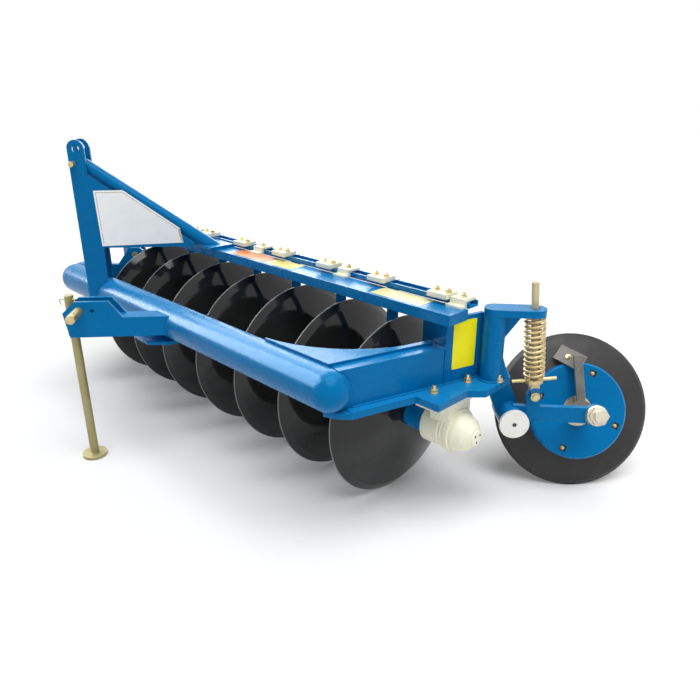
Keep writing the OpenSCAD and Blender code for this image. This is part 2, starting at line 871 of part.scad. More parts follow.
// The trailing arm: a boss on the pivot, a flat bar to the axle and a lug for the rod
module trailing_arm() {
    away = [wheel_at[0] - pivot_at[0], axle_z - pivot_at[1] - swing_up];
    lug_x = lug_at[0] - pivot_at[0];
    lug_h = lug_at[1] - pivot_at[1];
    color("dodgerblue") difference() {
        along_tail() translate([pivot_at[0], 0, pivot_at[1]]) difference() {
            union() {
                translate([0, swing_t - 2 * seat_gap, 0]) rotate([90, 0, 0])
                    cylinder(d = pivot_d, h = pivot_out + swing_t - 2 * seat_gap, $fn = 64);
                translate([0, swing_t / 2, swing_up]) rotate([0, -atan2(away[1], away[0]), 0])
                    upright(swing_t) {
                        translate([0, -swing_w / 2]) square([norm(away), swing_w]);
                        translate([norm(away), 0]) circle(d = swing_w + swing_t, $fn = 64);
                    }
                translate([lug_x, rod_at[1] + lug_t / 2, lug_h]) upright(lug_t) {
                    circle(d = lug_d, $fn = 48);
                    translate([-lug_d / 2, -lug_h]) square([lug_d, lug_h]);
                }
            }
            translate([0, 2 * pivot_in, 0]) rotate([90, 0, 0])
                cylinder(d = pivot_pin_d + 2 * seat_gap, h = 4 * pivot_in, $fn = 64);
            translate([lug_x, 0, lug_h]) rotate([90, 0, 0])
                cylinder(d = lug_pin_d + 2 * seat_gap, h = 4 * lug_t, center = true, $fn = 32);
        }
        on_axle() cylinder(d = axle_d + 2 * seat_gap, h = 2 * nut_out, $fn = 64);
    }
}

axle_z = wheel_z + wheel_at[1] * tan(camber);

module pivot_cap() {
    color("whitesmoke") along_tail() translate([pivot_at[0], -pivot_out - seat_gap, pivot_at[1]])
        rotate([90, 0, 0]) {
            cylinder(d = pivot_cap_d, h = pivot_cap_t, $fn = 64);
            translate([0, 0, -pivot_in - pivot_out])
                cylinder(d = pivot_pin_d, h = pivot_in + pivot_out + pivot_cap_t, $fn = 64);
        }
}

module wheel_blade() {
    color("dimgray") on_axle() difference() {
        rotate_extrude($fn = 128) blade_section(wheel_r, wheel_dish_r, wheel_t, wheel_bevel);
        translate([0, 0, -over]) cylinder(d = hub_d + 2 * seat_gap, h = 2 * hub_face, $fn = 64);
    }
}

module wheel_plate() {
    color("dodgerblue") on_axle() difference() {
        rotate_extrude($fn = 128) difference() {
            polygon([
                [hub_d / 2 + seat_gap, 0],
                [hub_plate_d / 2, 0],
                [hub_plate_d / 2, hub_face - hub_edge],
                [hub_plate_d / 2 - hub_edge, hub_face],
                [hub_d / 2 + seat_gap, hub_face],
            ]);
            translate([0, -wheel_centre]) circle(r = wheel_dish_r + seat_gap, $fn = 720);
        }
        for (k = [0 : 3]) rotate([0, 0, 90 * k - camber]) translate([square_r, 0, hub_face])
            cube([square_w, square_w, 2 * hub_edge], center = true);
    }
}

module wheel_hub() {
    color("silver") on_axle() difference() {
        translate([0, 0, hub_back]) cylinder(d = hub_d, h = hub_face - hub_edge - hub_back, $fn = 64);
        translate([0, 0, hub_back - over])
            cylinder(d = axle_d + 2 * run_gap, h = 2 * hub_face - hub_back, $fn = 64);
    }
}

module tail_axle() {
    color("silver") on_axle() {
        translate([0, 0, axle_back])
            cylinder(d = axle_d, h = nut_out + nut_t + axle_end - axle_back, $fn = 64);
        translate([0, 0, nut_out]) cylinder(d = nut_d, h = nut_t, $fn = 6);
    }
}

// A strap on the axle carries a plate that wipes the wheel's blade
module wheel_scraper() {
    color("silver") on_axle() difference() {
        union() {
            translate([0, 0, strap_out]) rotate([0, 0, strap_lean / 2]) translate([-strap_w / 2, 0, 0])
                cube([strap_w, strap_h, strap_t]);
            translate([0, 0, strap_out]) cylinder(d = hub_d - strap_w, h = strap_t, $fn = 48);
            translate([wiper_at[0], wiper_at[1], strap_out]) rotate([0, wiper_dip, wiper_turn])
                translate([-wiper_t, -wiper_t, 0]) cube([wiper_l, wiper_w, wiper_t]);
        }
        translate([0, 0, strap_out - over])
            cylinder(d = axle_d + 2 * seat_gap, h = strap_t + 2 * over, $fn = 48);
    }
}

front_tube();
side_arm(1, arm_h);  // left_arm
side_arm(-1, low_arm_h);  // right_arm
corner_gusset();  // left_gusset
base_plate(1);  // left_base_plate
base_plate(-1);  // right_base_plate
left_post();
right_post();
rear_beam();
bearing_housing(1);  // left_bearing
bearing_housing(-1);  // right_bearing
mast();
mast_brace();
brace_foot();
stop_bolt();
left_link_bracket();
right_link_bracket();
link_pin(-1);  // left_link_pin
link_pin(1);  // right_link_pin
leg_sleeve();
scraper_bar();
bar_brackets();
scraper_clamps();
tail_post();
spring_arm();
spring_rod();
spring_seat();
spring();
pivot_hanger();
trailing_arm();
pivot_cap();
tail_axle();
wheel_scraper();
gang_shaft();
spools();
wheel_blade();
wheel_plate();
wheel_hub();
parking_leg();
for (i = [1 : disc_count]) disc(i);
for (i = [1 : disc_count]) scraper(i);
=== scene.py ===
# %% [markdown]
# # Dressing a disc ridge plough
# The solids of the plough are already there, in metres, with the floor at Z = 0. This
# lesson gives them enamel, cast iron and zinc, and adds what is too small for the solids:
# nuts, washers, weld beads, a wound spring and the blank stickers.

# %% The frame and its size
import bpy
import bmesh
from math import cos, pi, radians, sin
from mathutils import Matrix, Vector


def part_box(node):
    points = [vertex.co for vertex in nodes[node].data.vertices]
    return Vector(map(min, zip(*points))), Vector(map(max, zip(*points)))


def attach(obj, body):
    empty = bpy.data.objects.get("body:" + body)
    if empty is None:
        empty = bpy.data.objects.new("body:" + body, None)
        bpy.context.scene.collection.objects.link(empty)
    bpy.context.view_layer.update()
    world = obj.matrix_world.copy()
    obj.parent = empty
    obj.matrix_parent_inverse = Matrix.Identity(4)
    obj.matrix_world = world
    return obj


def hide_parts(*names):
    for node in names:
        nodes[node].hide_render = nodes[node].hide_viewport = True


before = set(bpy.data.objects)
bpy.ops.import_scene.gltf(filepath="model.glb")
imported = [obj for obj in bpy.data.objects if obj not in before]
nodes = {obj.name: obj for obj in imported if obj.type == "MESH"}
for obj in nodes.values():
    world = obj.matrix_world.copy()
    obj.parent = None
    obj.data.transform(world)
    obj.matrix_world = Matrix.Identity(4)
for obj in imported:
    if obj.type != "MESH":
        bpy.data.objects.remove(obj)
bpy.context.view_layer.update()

# %% [markdown]
# ## Camera
# The plough is seen from its left side, from a little above the mast and about two metres
# away. A long lens from further off would flatten the row of discs, so the wide lens and
# the near place are kept, and no shift is needed because the view is centred.

# %% Camera at the viewing angle
eye = Vector((-0.0689, -2.2084, 1.1553))
gaze = Vector((0.07645, 0.92528, -0.37149))
camera_data = bpy.data.cameras.new("viewer")
camera_data.sensor_width = 36
camera_data.lens = 32.65
camera = bpy.data.objects.new("viewer", camera_data)
camera.location = eye
camera.rotation_euler = gaze.to_track_quat("-Z", "Y").to_euler()
bpy.context.scene.collection.objects.link(camera)
bpy.context.scene.camera = camera
print("camera looks along", tuple(round(v, 3) for v in gaze))

# %% [markdown]
# ## Floor
# A wide pale floor takes the shadow under the discs. A square would show its corners in the
# other views, so a round sheet with a thin turned-down rim is used. It lies a hair below
# Z = 0, so that it never cuts into what stands on it.

# %% Pale floor
floor_radius, floor_sides = 14, 96
floor_drop, floor_rim = 0.002, 0.05
floor_grey = 0.93


def deselect():
    if bpy.context.mode != "OBJECT":
        bpy.ops.object.mode_set(mode="OBJECT")
    bpy.ops.object.select_all(action="DESELECT")


def bare_shader(name):
    material = bpy.data.materials.new(name)
    material.use_nodes = True
    return material, material.node_tree.nodes["Principled BSDF"]


deselect()
bpy.ops.mesh.primitive_circle_add(
    vertices=floor_sides, radius=floor_radius, fill_type="NGON", location=(0, 0, -floor_drop))
floor = bpy.context.object
floor.name = "floor"
bpy.ops.object.mode_set(mode="EDIT")
bpy.ops.mesh.select_all(action="SELECT")
bpy.ops.mesh.extrude_region_move(TRANSFORM_OT_translate={"value": (0, 0, -floor_rim)})
bpy.ops.mesh.select_all(action="SELECT")
bpy.ops.mesh.normals_make_consistent(inside=False)
bpy.ops.object.mode_set(mode="OBJECT")
floor.data.transform(Matrix.Translation(floor.location))
floor.location = (0, 0, 0)
floor_paint, floor_bsdf = bare_shader("pale_floor")
floor_bsdf.inputs["Base Color"].default_value = (floor_grey, floor_grey, floor_grey, 1)
floor_bsdf.inputs["Roughness"].default_value = 0.9
floor_bsdf.inputs["Specular IOR Level"].default_value = 0.0
floor.data.materials.append(floor_paint)
print("floor of", len(floor.data.polygons), "faces")

# %% [markdown]
# ## Light
# A soft studio. A white room fills every side, and a wide sky lamp from above adds the
# shadow on the floor. It has no falloff, so the floor stays as pale in the distance as it is
# under the plough. The levels add up so that an upright face shows about the colour that is
# written for it, and a flat top a little more.

# %% White room and sky lamp
room_fill, room_seen = 0.36, 1.0
sky_place, sky_target = (0.5, -1.2, 4), (0, 0, 0.4)

world = bpy.data.worlds.new("white_room")
bpy.context.scene.world = world
world.use_nodes = True
room = world.node_tree
room.nodes.clear()
rays = room.nodes.new("ShaderNodeLightPath")
seen = room.nodes.new("ShaderNodeMath")
seen.operation = "MAXIMUM"
seen_through = room.nodes.new("ShaderNodeMath")
seen_through.operation = "MAXIMUM"
level = room.nodes.new("ShaderNodeMapRange")
level.inputs["To Min"].default_value = room_fill
level.inputs["To Max"].default_value = room_seen
backdrop = room.nodes.new("ShaderNodeBackground")
backdrop.inputs["Color"].default_value = (1, 1, 1, 1)
room_out = room.nodes.new("ShaderNodeOutputWorld")
room.links.new(rays.outputs["Is Camera Ray"], seen.inputs[0])
room.links.new(rays.outputs["Is Glossy Ray"], seen.inputs[1])
room.links.new(seen.outputs[0], seen_through.inputs[0])
room.links.new(rays.outputs["Is Transmission Ray"], seen_through.inputs[1])
room.links.new(seen_through.outputs[0], level.inputs["Value"])
room.links.new(level.outputs["Result"], backdrop.inputs["Strength"])
room.links.new(backdrop.outputs["Background"], room_out.inputs["Surface"])


def hang(name, lamp, place, target):
    lamp_object = bpy.data.objects.new(name, lamp)
    lamp_object.location = place
    line = Vector(target) - Vector(place)
    lamp_object.rotation_euler = line.to_track_quat("-Z", "Y").to_euler()
    lamp_object.visible_camera = False
    bpy.context.scene.collection.objects.link(lamp_object)
    return lamp_object


sky_lamp = bpy.data.lights.new("sky_lamp", "SUN")
sky_lamp.energy = 2.6
sky_lamp.angle = radians(50)
hang("sky_lamp", sky_lamp, sky_place, sky_target)
bpy.context.scene.view_settings.view_transform = "Standard"
print("room and sky lamp set")

# %% [markdown]
# ## Streaks in the gloss
# Glossy enamel shows a studio's panels as pale streaks along every round edge. One panel
# stands before the plough for the streak along the tube, a weaker one above widens that
# streak, and one behind gives the flat tops their sheen. They are seen in reflections alone,
# so they add no light to the colours.

# %% Three panels for the gloss
def panel(name, place, target, wide, tall, brightness):
    lamp = bpy.data.lights.new(name, "AREA")
    lamp.shape = "RECTANGLE"
    lamp.size, lamp.size_y = wide, tall
    lamp.energy = brightness * pi * wide * tall
    hang(name, lamp, place, target).visible_diffuse = False


panel("front_panel", (-3.1, 0.3, 2.6), (-0.3, -0.2, 0.45), wide=2.8, tall=3.0, brightness=17)
panel("top_panel", (-1.6, 2.4, 3.7), (-0.2, -0.1, 0.5), wide=3.0, tall=2.6, brightness=6)
panel("rear_panel", (0.4, 4.8, 2.6), (0.4, 0, 0.6), wide=2.8, tall=4.0, brightness=4.4)
print(len(bpy.data.lights), "lamps in all")

# %% [markdown]
# ## Effects that several finishes share
# Painted steel is never one colour: the film is thinner on edges, which also carry a painted
# highlight, sags a little on faces and has a fine orange-peel skin. Each of these is a node
# group, made once and placed in every finish with its own values, so that one change reaches them
# all.

# %% Node group: mottle
def new_group(name, inputs, outputs):
    group = bpy.data.node_groups.new(name, "ShaderNodeTree")
    for label, kind, value in inputs:
        socket = group.interface.new_socket(label, in_out="INPUT", socket_type=kind)
        socket.default_value = value
    for label, kind in outputs:
        group.interface.new_socket(label, in_out="OUTPUT", socket_type=kind)
    return group, group.nodes.new("NodeGroupInput"), group.nodes.new("NodeGroupOutput")


number, arrow = "NodeSocketFloat", "NodeSocketVector"

mottle, m_in, m_out = new_group(
    "mottle",
    [("Scale", number, 10.0), ("Low", number, 0.0), ("High", number, 1.0)],
    [("Value", number)])
m_spot = mottle.nodes.new("ShaderNodeTexCoord")
m_noise = mottle.nodes.new("ShaderNodeTexNoise")
m_noise.inputs["Detail"].default_value = 4.0
m_range = mottle.nodes.new("ShaderNodeMapRange")
m_range.inputs["From Min"].default_value = 0.32
m_range.inputs["From Max"].default_value = 0.68
mottle.links.new(m_spot.outputs["Object"], m_noise.inputs["Vector"])
mottle.links.new(m_in.outputs["Scale"], m_noise.inputs["Scale"])
mottle.links.new(m_noise.outputs["Fac"], m_range.inputs["Value"])
mottle.links.new(m_in.outputs["Low"], m_range.inputs["To Min"])
mottle.links.new(m_in.outputs["High"], m_range.inputs["To Max"])
mottle.links.new(m_range.outputs["Result"], m_out.inputs["Value"])
print("group", mottle.name)

# %% [markdown]
# ## Worn and highlighted edges
# Edges are painted lighter, partly for wear, since paint draws back from a sharp edge and
# wears there first, and partly as a painted highlight for the light that a rounded edge would
# catch. A Bevel node gives the normal that a rounded edge would have, and where it leaves the
# face's own normal, an edge is near. Mottle breaks the line up, because wear is never even.

# %% Node group: worn and highlighted edges
edges, e_in, e_out = new_group(
    "edge_wear_and_highlight",
    [("Radius", number, 0.003), ("Breakup", number, 60.0)],
    [("Mask", number), ("Normal", arrow)])
e_bevel = edges.nodes.new("ShaderNodeBevel")
e_bevel.samples = 6
e_face = edges.nodes.new("ShaderNodeNewGeometry")
e_dot = edges.nodes.new("ShaderNodeVectorMath")
e_dot.operation = "DOT_PRODUCT"
# Edge mask: partly wear, partly a painted highlight where a rounded edge would catch the light.
e_range = edges.nodes.new("ShaderNodeMapRange")
e_range.inputs["From Min"].default_value = 0.985
e_range.inputs["From Max"].default_value = 0.86
e_mottle = edges.nodes.new("ShaderNodeGroup")
e_mottle.node_tree = mottle
e_mottle.inputs["Low"].default_value = 0.45
e_mix = edges.nodes.new("ShaderNodeMath")
e_mix.operation = "MULTIPLY"
edges.links.new(e_in.outputs["Radius"], e_bevel.inputs["Radius"])
edges.links.new(e_bevel.outputs["Normal"], e_dot.inputs[0])
edges.links.new(e_face.outputs["Normal"], e_dot.inputs[1])
edges.links.new(e_dot.outputs["Value"], e_range.inputs["Value"])
edges.links.new(e_in.outputs["Breakup"], e_mottle.inputs["Scale"])
edges.links.new(e_range.outputs["Result"], e_mix.inputs[0])
edges.links.new(e_mottle.outputs["Value"], e_mix.inputs[1])
edges.links.new(e_mix.outputs["Value"], e_out.inputs["Mask"])
edges.links.new(e_bevel.outputs["Normal"], e_out.inputs["Normal"])
print("group", edges.name)

# %% [markdown]
# ## Distance from an axle
# Turned and ground pieces carry rings about their axle. The cross product of the axis and the
# way from the axle to a point is as long as that point's distance, so a ring needs no
# picture and stays sharp however near the camera comes.

# %% Node group: distance from an axle
axle_distance, a_in, a_out = new_group(
    "axle_distance",
    [("Point", arrow, (0, 0, 0)), ("Axis", arrow, (0, 0, 1))],
    [("Radius", number)])
a_spot = axle_distance.nodes.new("ShaderNodeTexCoord")
a_from = axle_distance.nodes.new("ShaderNodeVectorMath")
a_from.operation = "SUBTRACT"
a_cross = axle_distance.nodes.new("ShaderNodeVectorMath")
a_cross.operation = "CROSS_PRODUCT"
a_length = axle_distance.nodes.new("ShaderNodeVectorMath")
a_length.operation = "LENGTH"
axle_distance.links.new(a_spot.outputs["Object"], a_from.inputs[0])
axle_distance.links.new(a_in.outputs["Point"], a_from.inputs[1])
axle_distance.links.new(a_from.outputs["Vector"], a_cross.inputs[0])
axle_distance.links.new(a_in.outputs["Axis"], a_cross.inputs[1])
axle_distance.links.new(a_cross.outputs["Vector"], a_length.inputs[0])
axle_distance.links.new(a_length.outputs["Value"], a_out.inputs["Radius"])
print("groups:", [g.name for g in bpy.data.node_groups])

# %% [markdown]
# ## A recipe for a coated surface
# Every finish here mixes two close colours by mottle, lightens its edges for wear and with a
# painted highlight, moves its roughness a little and carries a fine bump. One recipe with
# these values as arguments keeps the finishes alike in build and lets each differ in what
# matters. `rough` holds the lowest and the highest roughness, `grain` the bump's scale,
# strength and depth.

# %% Recipe for a finish
haze_scale = 38.0


def use_group(tree, group, **values):
    node = tree.nodes.new("ShaderNodeGroup")
    node.node_tree = group
    for label, value in values.items():
        node.inputs[label].default_value = value
    return node


def finish(name, dark, light, edge, rough, grain, edge_share=0.6, patch=5.0, edge_r=0.003,
           metal=0.0, specular=0.5):
    material, bsdf = bare_shader(name)
    tree = material.node_tree
    made, links = tree.nodes, tree.links
    cloud = use_group(tree, mottle, Scale=patch)
    body = made.new("ShaderNodeMix")
    body.data_type = "RGBA"
    body.inputs["A"].default_value = (*dark, 1)
    body.inputs["B"].default_value = (*light, 1)
    links.new(cloud.outputs["Value"], body.inputs["Factor"])
    rim = use_group(tree, edges, Radius=edge_r)
    share = made.new("ShaderNodeMath")
    share.operation = "MULTIPLY"
    share.inputs[1].default_value = edge_share
    links.new(rim.outputs["Mask"], share.inputs[0])
    # Edges mixed towards the edge colour: wear and a painted highlight.
    edge_wear_and_highlight_mix = made.new("ShaderNodeMix")
    edge_wear_and_highlight_mix.data_type = "RGBA"
    edge_wear_and_highlight_mix.inputs["B"].default_value = (*edge, 1)
    links.new(share.outputs["Value"], edge_wear_and_highlight_mix.inputs["Factor"])
    links.new(body.outputs["Result"], edge_wear_and_highlight_mix.inputs["A"])
    links.new(edge_wear_and_highlight_mix.outputs["Result"], bsdf.inputs["Base Color"])
    haze = use_group(tree, mottle, Scale=haze_scale, Low=rough[0], High=rough[1])
    links.new(haze.outputs["Value"], bsdf.inputs["Roughness"])
    peel = use_group(tree, mottle, Scale=grain[0])
    bump = made.new("ShaderNodeBump")
    bump.inputs["Strength"].default_value = grain[1]
    bump.inputs["Distance"].default_value = grain[2]
    links.new(peel.outputs["Value"], bump.inputs["Height"])
    links.new(rim.outputs["Normal"], bump.inputs["Normal"])
    links.new(bump.outputs["Normal"], bsdf.inputs["Normal"])
    bsdf.inputs["Metallic"].default_value = metal
    bsdf.inputs["Specular IOR Level"].default_value = specular
    return material


print("recipe ready")

# %% [markdown]
# ## One more colour
# Some pieces show a second colour in one place only: a ground rim, a worn pin, a top painted
# pale as a sheen. An overlay takes what feeds the base colour and mixes one more colour over
# it where a mask asks for it, so the recipe itself stays plain.

# %% Overlay
def overlay(material, mask, colour):
    tree = material.node_tree
    bsdf = tree.nodes["Principled BSDF"]
    before = bsdf.inputs["Base Color"].links[0].from_socket
    layer = tree.nodes.new("ShaderNodeMix")
    layer.data_type = "RGBA"
    layer.inputs["B"].default_value = (*colour, 1)
    tree.links.new(mask, layer.inputs["Factor"])
    tree.links.new(before, layer.inputs["A"])
    tree.links.new(layer.outputs["Result"], bsdf.inputs["Base Color"])


print("overlay ready")

# %% [markdown]
# ## Blue enamel
# The frame is sprayed with a bright blue enamel that is glossy enough to show pale streaks
# where it turns towards the light. A clear coat gives those streaks without making the
# blue itself shiny. The edges are a little lighter, partly where the film is thin and partly
# as a painted highlight. The flat tops are painted paler by their upward normal: a painted
# sheen for the light from above.

# %% Blue enamel
blue_paint = finish(
    "blue_paint", (0.0, 0.136, 0.352), (0.0, 0.152, 0.392), (0.005, 0.27, 0.58),
    (0.22, 0.32), (420.0, 0.05, 0.0003), edge_share=0.4, patch=3.0, edge_r=0.0022, specular=0.2)
blue_tree = blue_paint.node_tree
blue_bsdf = blue_tree.nodes["Principled BSDF"]
blue_bsdf.inputs["Specular Tint"].default_value = (0.02, 0.5, 1.0, 1)
blue_bsdf.inputs["Coat Weight"].default_value = 0.1
blue_bsdf.inputs["Coat Roughness"].default_value = 0.14
# Painted sheen: faces whose normal points up are mixed towards a paler blue, as light from above
# would show them.
facing = blue_tree.nodes.new("ShaderNodeTexCoord")
upward = blue_tree.nodes.new("ShaderNodeSeparateXYZ")
painted_top_sheen = blue_tree.nodes.new("ShaderNodeMapRange")
painted_top_sheen.inputs["From Min"].default_value = 0.7
painted_top_sheen.inputs["From Max"].default_value = 0.97
painted_top_sheen.inputs["To Max"].default_value = 0.6
blue_tree.links.new(facing.outputs["Normal"], upward.inputs["Vector"])
blue_tree.links.new(upward.outputs["Z"], painted_top_sheen.inputs["Value"])
overlay(blue_paint, painted_top_sheen.outputs["Result"], (0.012, 0.27, 0.62))
print(blue_paint.name, "ready")

# %% [markdown]
# ## Cream castings, zinc and grey steel
# The bearing housings and the clamps are sand castings under a cream paint, so they are
# duller and rougher. Nuts, pins, spring and leg are zinc plated and passivated, which leaves
# a straw colour; the leg's is duller, and the hub is clear zinc with a warm tint. The
# wheel's scraper stays grey steel, bright at its edges with wear and a painted highlight.

# %% Cream, gold zinc, pale zinc, leg zinc and grey steel
plated_grain = (420.0, 0.15, 0.0003)
cream_cast = finish(
    "cream_cast", (0.80, 0.785, 0.60), (0.88, 0.865, 0.71), (0.93, 0.92, 0.82),
    (0.38, 0.55), (240.0, 0.25, 0.0008), edge_share=0.5, patch=12.0, edge_r=0.004)
gold_zinc = finish(
    "gold_zinc", (0.44, 0.33, 0.14), (0.67, 0.56, 0.30), (0.86, 0.79, 0.56),
    (0.25, 0.42), (500.0, 0.15, 0.0003), edge_share=0.5, patch=24.0, edge_r=0.0012, metal=0.7)
pale_zinc = finish(
    "pale_zinc", (0.60, 0.55, 0.44), (0.78, 0.73, 0.62), (0.88, 0.85, 0.77),
    (0.24, 0.4), plated_grain, edge_share=0.5, patch=30.0, edge_r=0.0015, metal=0.7)
leg_zinc = finish(
    "leg_zinc", (0.30, 0.265, 0.115), (0.39, 0.35, 0.17), (0.62, 0.57, 0.36),
    (0.35, 0.5), plated_grain, patch=11.0, edge_r=0.002, metal=0.3)
grey_steel = finish(
    "grey_steel", (0.13, 0.125, 0.115), (0.21, 0.20, 0.18), (0.62, 0.61, 0.58),
    (0.35, 0.5), plated_grain, edge_share=0.8, patch=16.0, edge_r=0.002, specular=0.25)
print("five finishes ready")

# %% [markdown]
# ## Axes of the gang and the tail wheel
# Two axles rule this machine. The gang's runs at 50 degrees to the way the plough is pulled.
# The tail wheel's is toed in by 5 degrees and leans by a camber of 22. Rings of colour are
# drawn about these axes, and pieces are placed along them.

# %% Two axes
gang_turn = radians(50)
gang_point = Vector((-0.217299, 0.033415, 0.28))
gang_axis = Vector((cos(gang_turn), -sin(gang_turn), 0))
toe, camber = radians(5), radians(22)
wheel_middle = Vector((0.782531, -0.458497, 0.226864))
axle_out = Vector((-cos(camber) * sin(toe), -cos(camber) * cos(toe), sin(camber)))
for label, axis in (("gang", gang_axis), ("tail wheel", axle_out)):
    print(label, "axis", tuple(round(v, 3) for v in axis))

# %% [markdown]
# ## Black discs with a ground edge
# The discs are quenched spring steel under black enamel. Their rims are ground sharp after
# painting, which leaves a bright line at the very edge. The line is found by its distance
# from the gang's axis, so it turns with the discs. The enamel is smooth: each disc mirrors
# the next one. The tail wheel's blade is duller, and its edge stays dark.

# %% Disc and wheel black
def ring_mask(material, point, axis, start, end):
    tree = material.node_tree
    distance = use_group(tree, axle_distance, Point=point, Axis=axis)
    mask = tree.nodes.new("ShaderNodeMapRange")
    mask.inputs["From Min"].default_value = start
    mask.inputs["From Max"].default_value = end
    tree.links.new(distance.outputs["Radius"], mask.inputs["Value"])
    return mask.outputs["Result"]


disc_black = finish(
    "disc_black", (0.011, 0.0115, 0.0115), (0.018, 0.0185, 0.0185), (0.14, 0.14, 0.14),
    (0.06, 0.14), (70.0, 0.05, 0.0008), edge_share=0.4, patch=9.0, edge_r=0.0012, specular=0.37)
disc_rim = ring_mask(disc_black, gang_point, gang_axis, 0.2774, 0.2782)
overlay(disc_black, disc_rim, (0.17, 0.17, 0.17))
wheel_black = finish(
    "wheel_black", (0.015, 0.0145, 0.015), (0.024, 0.0235, 0.024), (0.08, 0.08, 0.08),
    (0.42, 0.58), (200.0, 0.15, 0.0005), edge_share=0.5, patch=8.0, edge_r=0.001, specular=0.38)
wheel_rim = ring_mask(wheel_black, wheel_middle, axle_out, 0.2385, 0.2395)
overlay(wheel_black, wheel_rim, (0.012, 0.012, 0.012))
print("blacks ready")

# %% [markdown]
# ## White pivot cap
# The trailing arm's pivot is closed by a turned white cap with a threaded hole in its
# middle and a faint grey ring round it. The hole is not cut: it is a dark disc of painted
# shade. Both are drawn by distance from the pivot's own axis, and so the hole comes last,
# over the ring. The arm is toed in, so places on it are given along and across the arm.

# %% White cap
tail_spot = Vector((0.316237, -0.602407, 0))


def at_tail(x, y, z):
    return Vector((
        tail_spot.x + x * cos(toe) + y * sin(toe),
        tail_spot.y - x * sin(toe) + y * cos(toe), z))


pivot_point = at_tail(0.213, 0, 0.293)
pivot_axis = Vector((sin(toe), cos(toe), 0))
white_cap = finish(
    "white_cap", (0.78, 0.78, 0.74), (0.86, 0.86, 0.83), (0.93, 0.93, 0.91),
    (0.35, 0.5), (260.0, 0.15, 0.0004), edge_share=0.5, patch=20.0, edge_r=0.004)
cap_ring = ring_mask(white_cap, pivot_point, pivot_axis, 0.0092, 0.0078)
overlay(white_cap, cap_ring, (0.62, 0.62, 0.58))
# Painted shade: a dark disc stands in for the shade inside the threaded hole.
cap_hole_shade = ring_mask(white_cap, pivot_point, pivot_axis, 0.0062, 0.0052)
overlay(white_cap, cap_hole_shade, (0.02, 0.02, 0.02))
print("cap around", tuple(round(v, 3) for v in pivot_point))

# %% [markdown]
# ## Spring rod with a painted fork
# The rod is plated, but its forged fork was painted with the frame, and the end of its pin
# wore bright. Both are found by their distance from the pin's axis.

# %% Rod and fork
fork_x, fork_z = 0.2705, 0.368
fork_point = at_tail(fork_x, -0.003, fork_z)
rod_zinc = finish(
    "rod_zinc", (0.48, 0.40, 0.20), (0.66, 0.58, 0.35), (0.84, 0.78, 0.58),
    (0.3, 0.45), (500.0, 0.12, 0.0003), edge_share=0.5, patch=24.0, edge_r=0.0012, metal=0.25)
fork_paint = ring_mask(rod_zinc, fork_point, pivot_axis, 0.0275, 0.0265)
overlay(rod_zinc, fork_paint, (0.0, 0.12, 0.33))
pin_end = ring_mask(rod_zinc, fork_point, pivot_axis, 0.0084, 0.0078)
overlay(rod_zinc, pin_end, (0.66, 0.58, 0.33))
print("fork around", tuple(round(v, 3) for v in fork_point))

# %% [markdown]
# ## Putting the finishes on the solids
# Each solid takes one finish, as it left the paint shop: castings cream, fasteners and leg
# zinc plated, discs black and all the welded steel blue.

# %% Dress the solids
dress = {
    cream_cast: ["left_bearing", "right_bearing", "scraper_clamps", "bar_brackets"],
    gold_zinc: ["stop_bolt", "left_link_pin", "right_link_pin", "spring_seat", "spring"],
    rod_zinc: ["spring_rod"],
    leg_zinc: ["parking_leg"],
    pale_zinc: ["gang_shaft", "wheel_hub", "tail_axle"],
    grey_steel: ["wheel_scraper"],
    white_cap: ["pivot_cap"],
    wheel_black: ["wheel_blade"],
    disc_black: [name for name in nodes if name.startswith("disc_")],
}
finish_of = {name: material for material, names in dress.items() for name in names}
for name, solid in nodes.items():
    solid.data.materials.clear()
    solid.data.materials.append(finish_of.get(name, blue_paint))
print(len(finish_of), "solids with their own finish,", len(nodes) - len(finish_of), "blue")

# %% [markdown]
# ## Working by hand, in code
# A new piece starts as a primitive and is shaped in edit mode. These helpers do what a hand
# does there: pick faces and edges by where they are, pull a face up, and close the mesh
# with its doubles merged and its faces turned outwards.

# %% Picking, pulling and closing
weld_distance = 0.00002


def pick_faces(test):
    bpy.ops.mesh.select_mode(type="FACE")
    bpy.ops.mesh.select_all(action="DESELECT")
    shape = bmesh.from_edit_mesh(bpy.context.object.data)
    for face in shape.faces:
        face.select_set(bool(test(face.calc_center_median(), face.normal)))
    bmesh.update_edit_mesh(bpy.context.object.data)


def pick_edges(test):
    bpy.ops.mesh.select_mode(type="EDGE")
    bpy.ops.mesh.select_all(action="DESELECT")
    shape = bmesh.from_edit_mesh(bpy.context.object.data)
    for line in shape.edges:
        line.select_set(bool(test(line.verts[0].co, line.verts[1].co)))
    bmesh.update_edit_mesh(bpy.context.object.data)


def up(distance):
    bpy.ops.mesh.extrude_region_move(TRANSFORM_OT_translate={"value": (0, 0, distance)})


def close_mesh():
    bpy.ops.mesh.select_all(action="SELECT")
    bpy.ops.mesh.remove_doubles(threshold=weld_distance)
    bpy.ops.mesh.normals_make_consistent(inside=False)
    bpy.ops.object.mode_set(mode="OBJECT")


print("hand helpers ready")

# %% [markdown]
# ## Setting a piece down
# A finished piece sits at the origin with its place in its mesh, so that its finish doesn't
# slide over it, and it rides on the body that carries it. What repeats is modelled once, and
# every copy gets a mesh of its own.

# %% Settle, copy and turn
def make_active(piece):
    deselect()
    piece.select_set(True)
    bpy.context.view_layer.objects.active = piece


def settle(piece, name, body, material, place=Matrix.Identity(4), angle=35):
    piece.data.transform(place @ piece.matrix_basis)
    piece.matrix_basis = Matrix.Identity(4)
    piece.name = name
    piece.data.name = name
    piece.data.materials.clear()
    piece.data.materials.append(material)
    make_active(piece)
    bpy.ops.object.shade_smooth_by_angle(angle=radians(angle))
    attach(piece, body)
    return piece


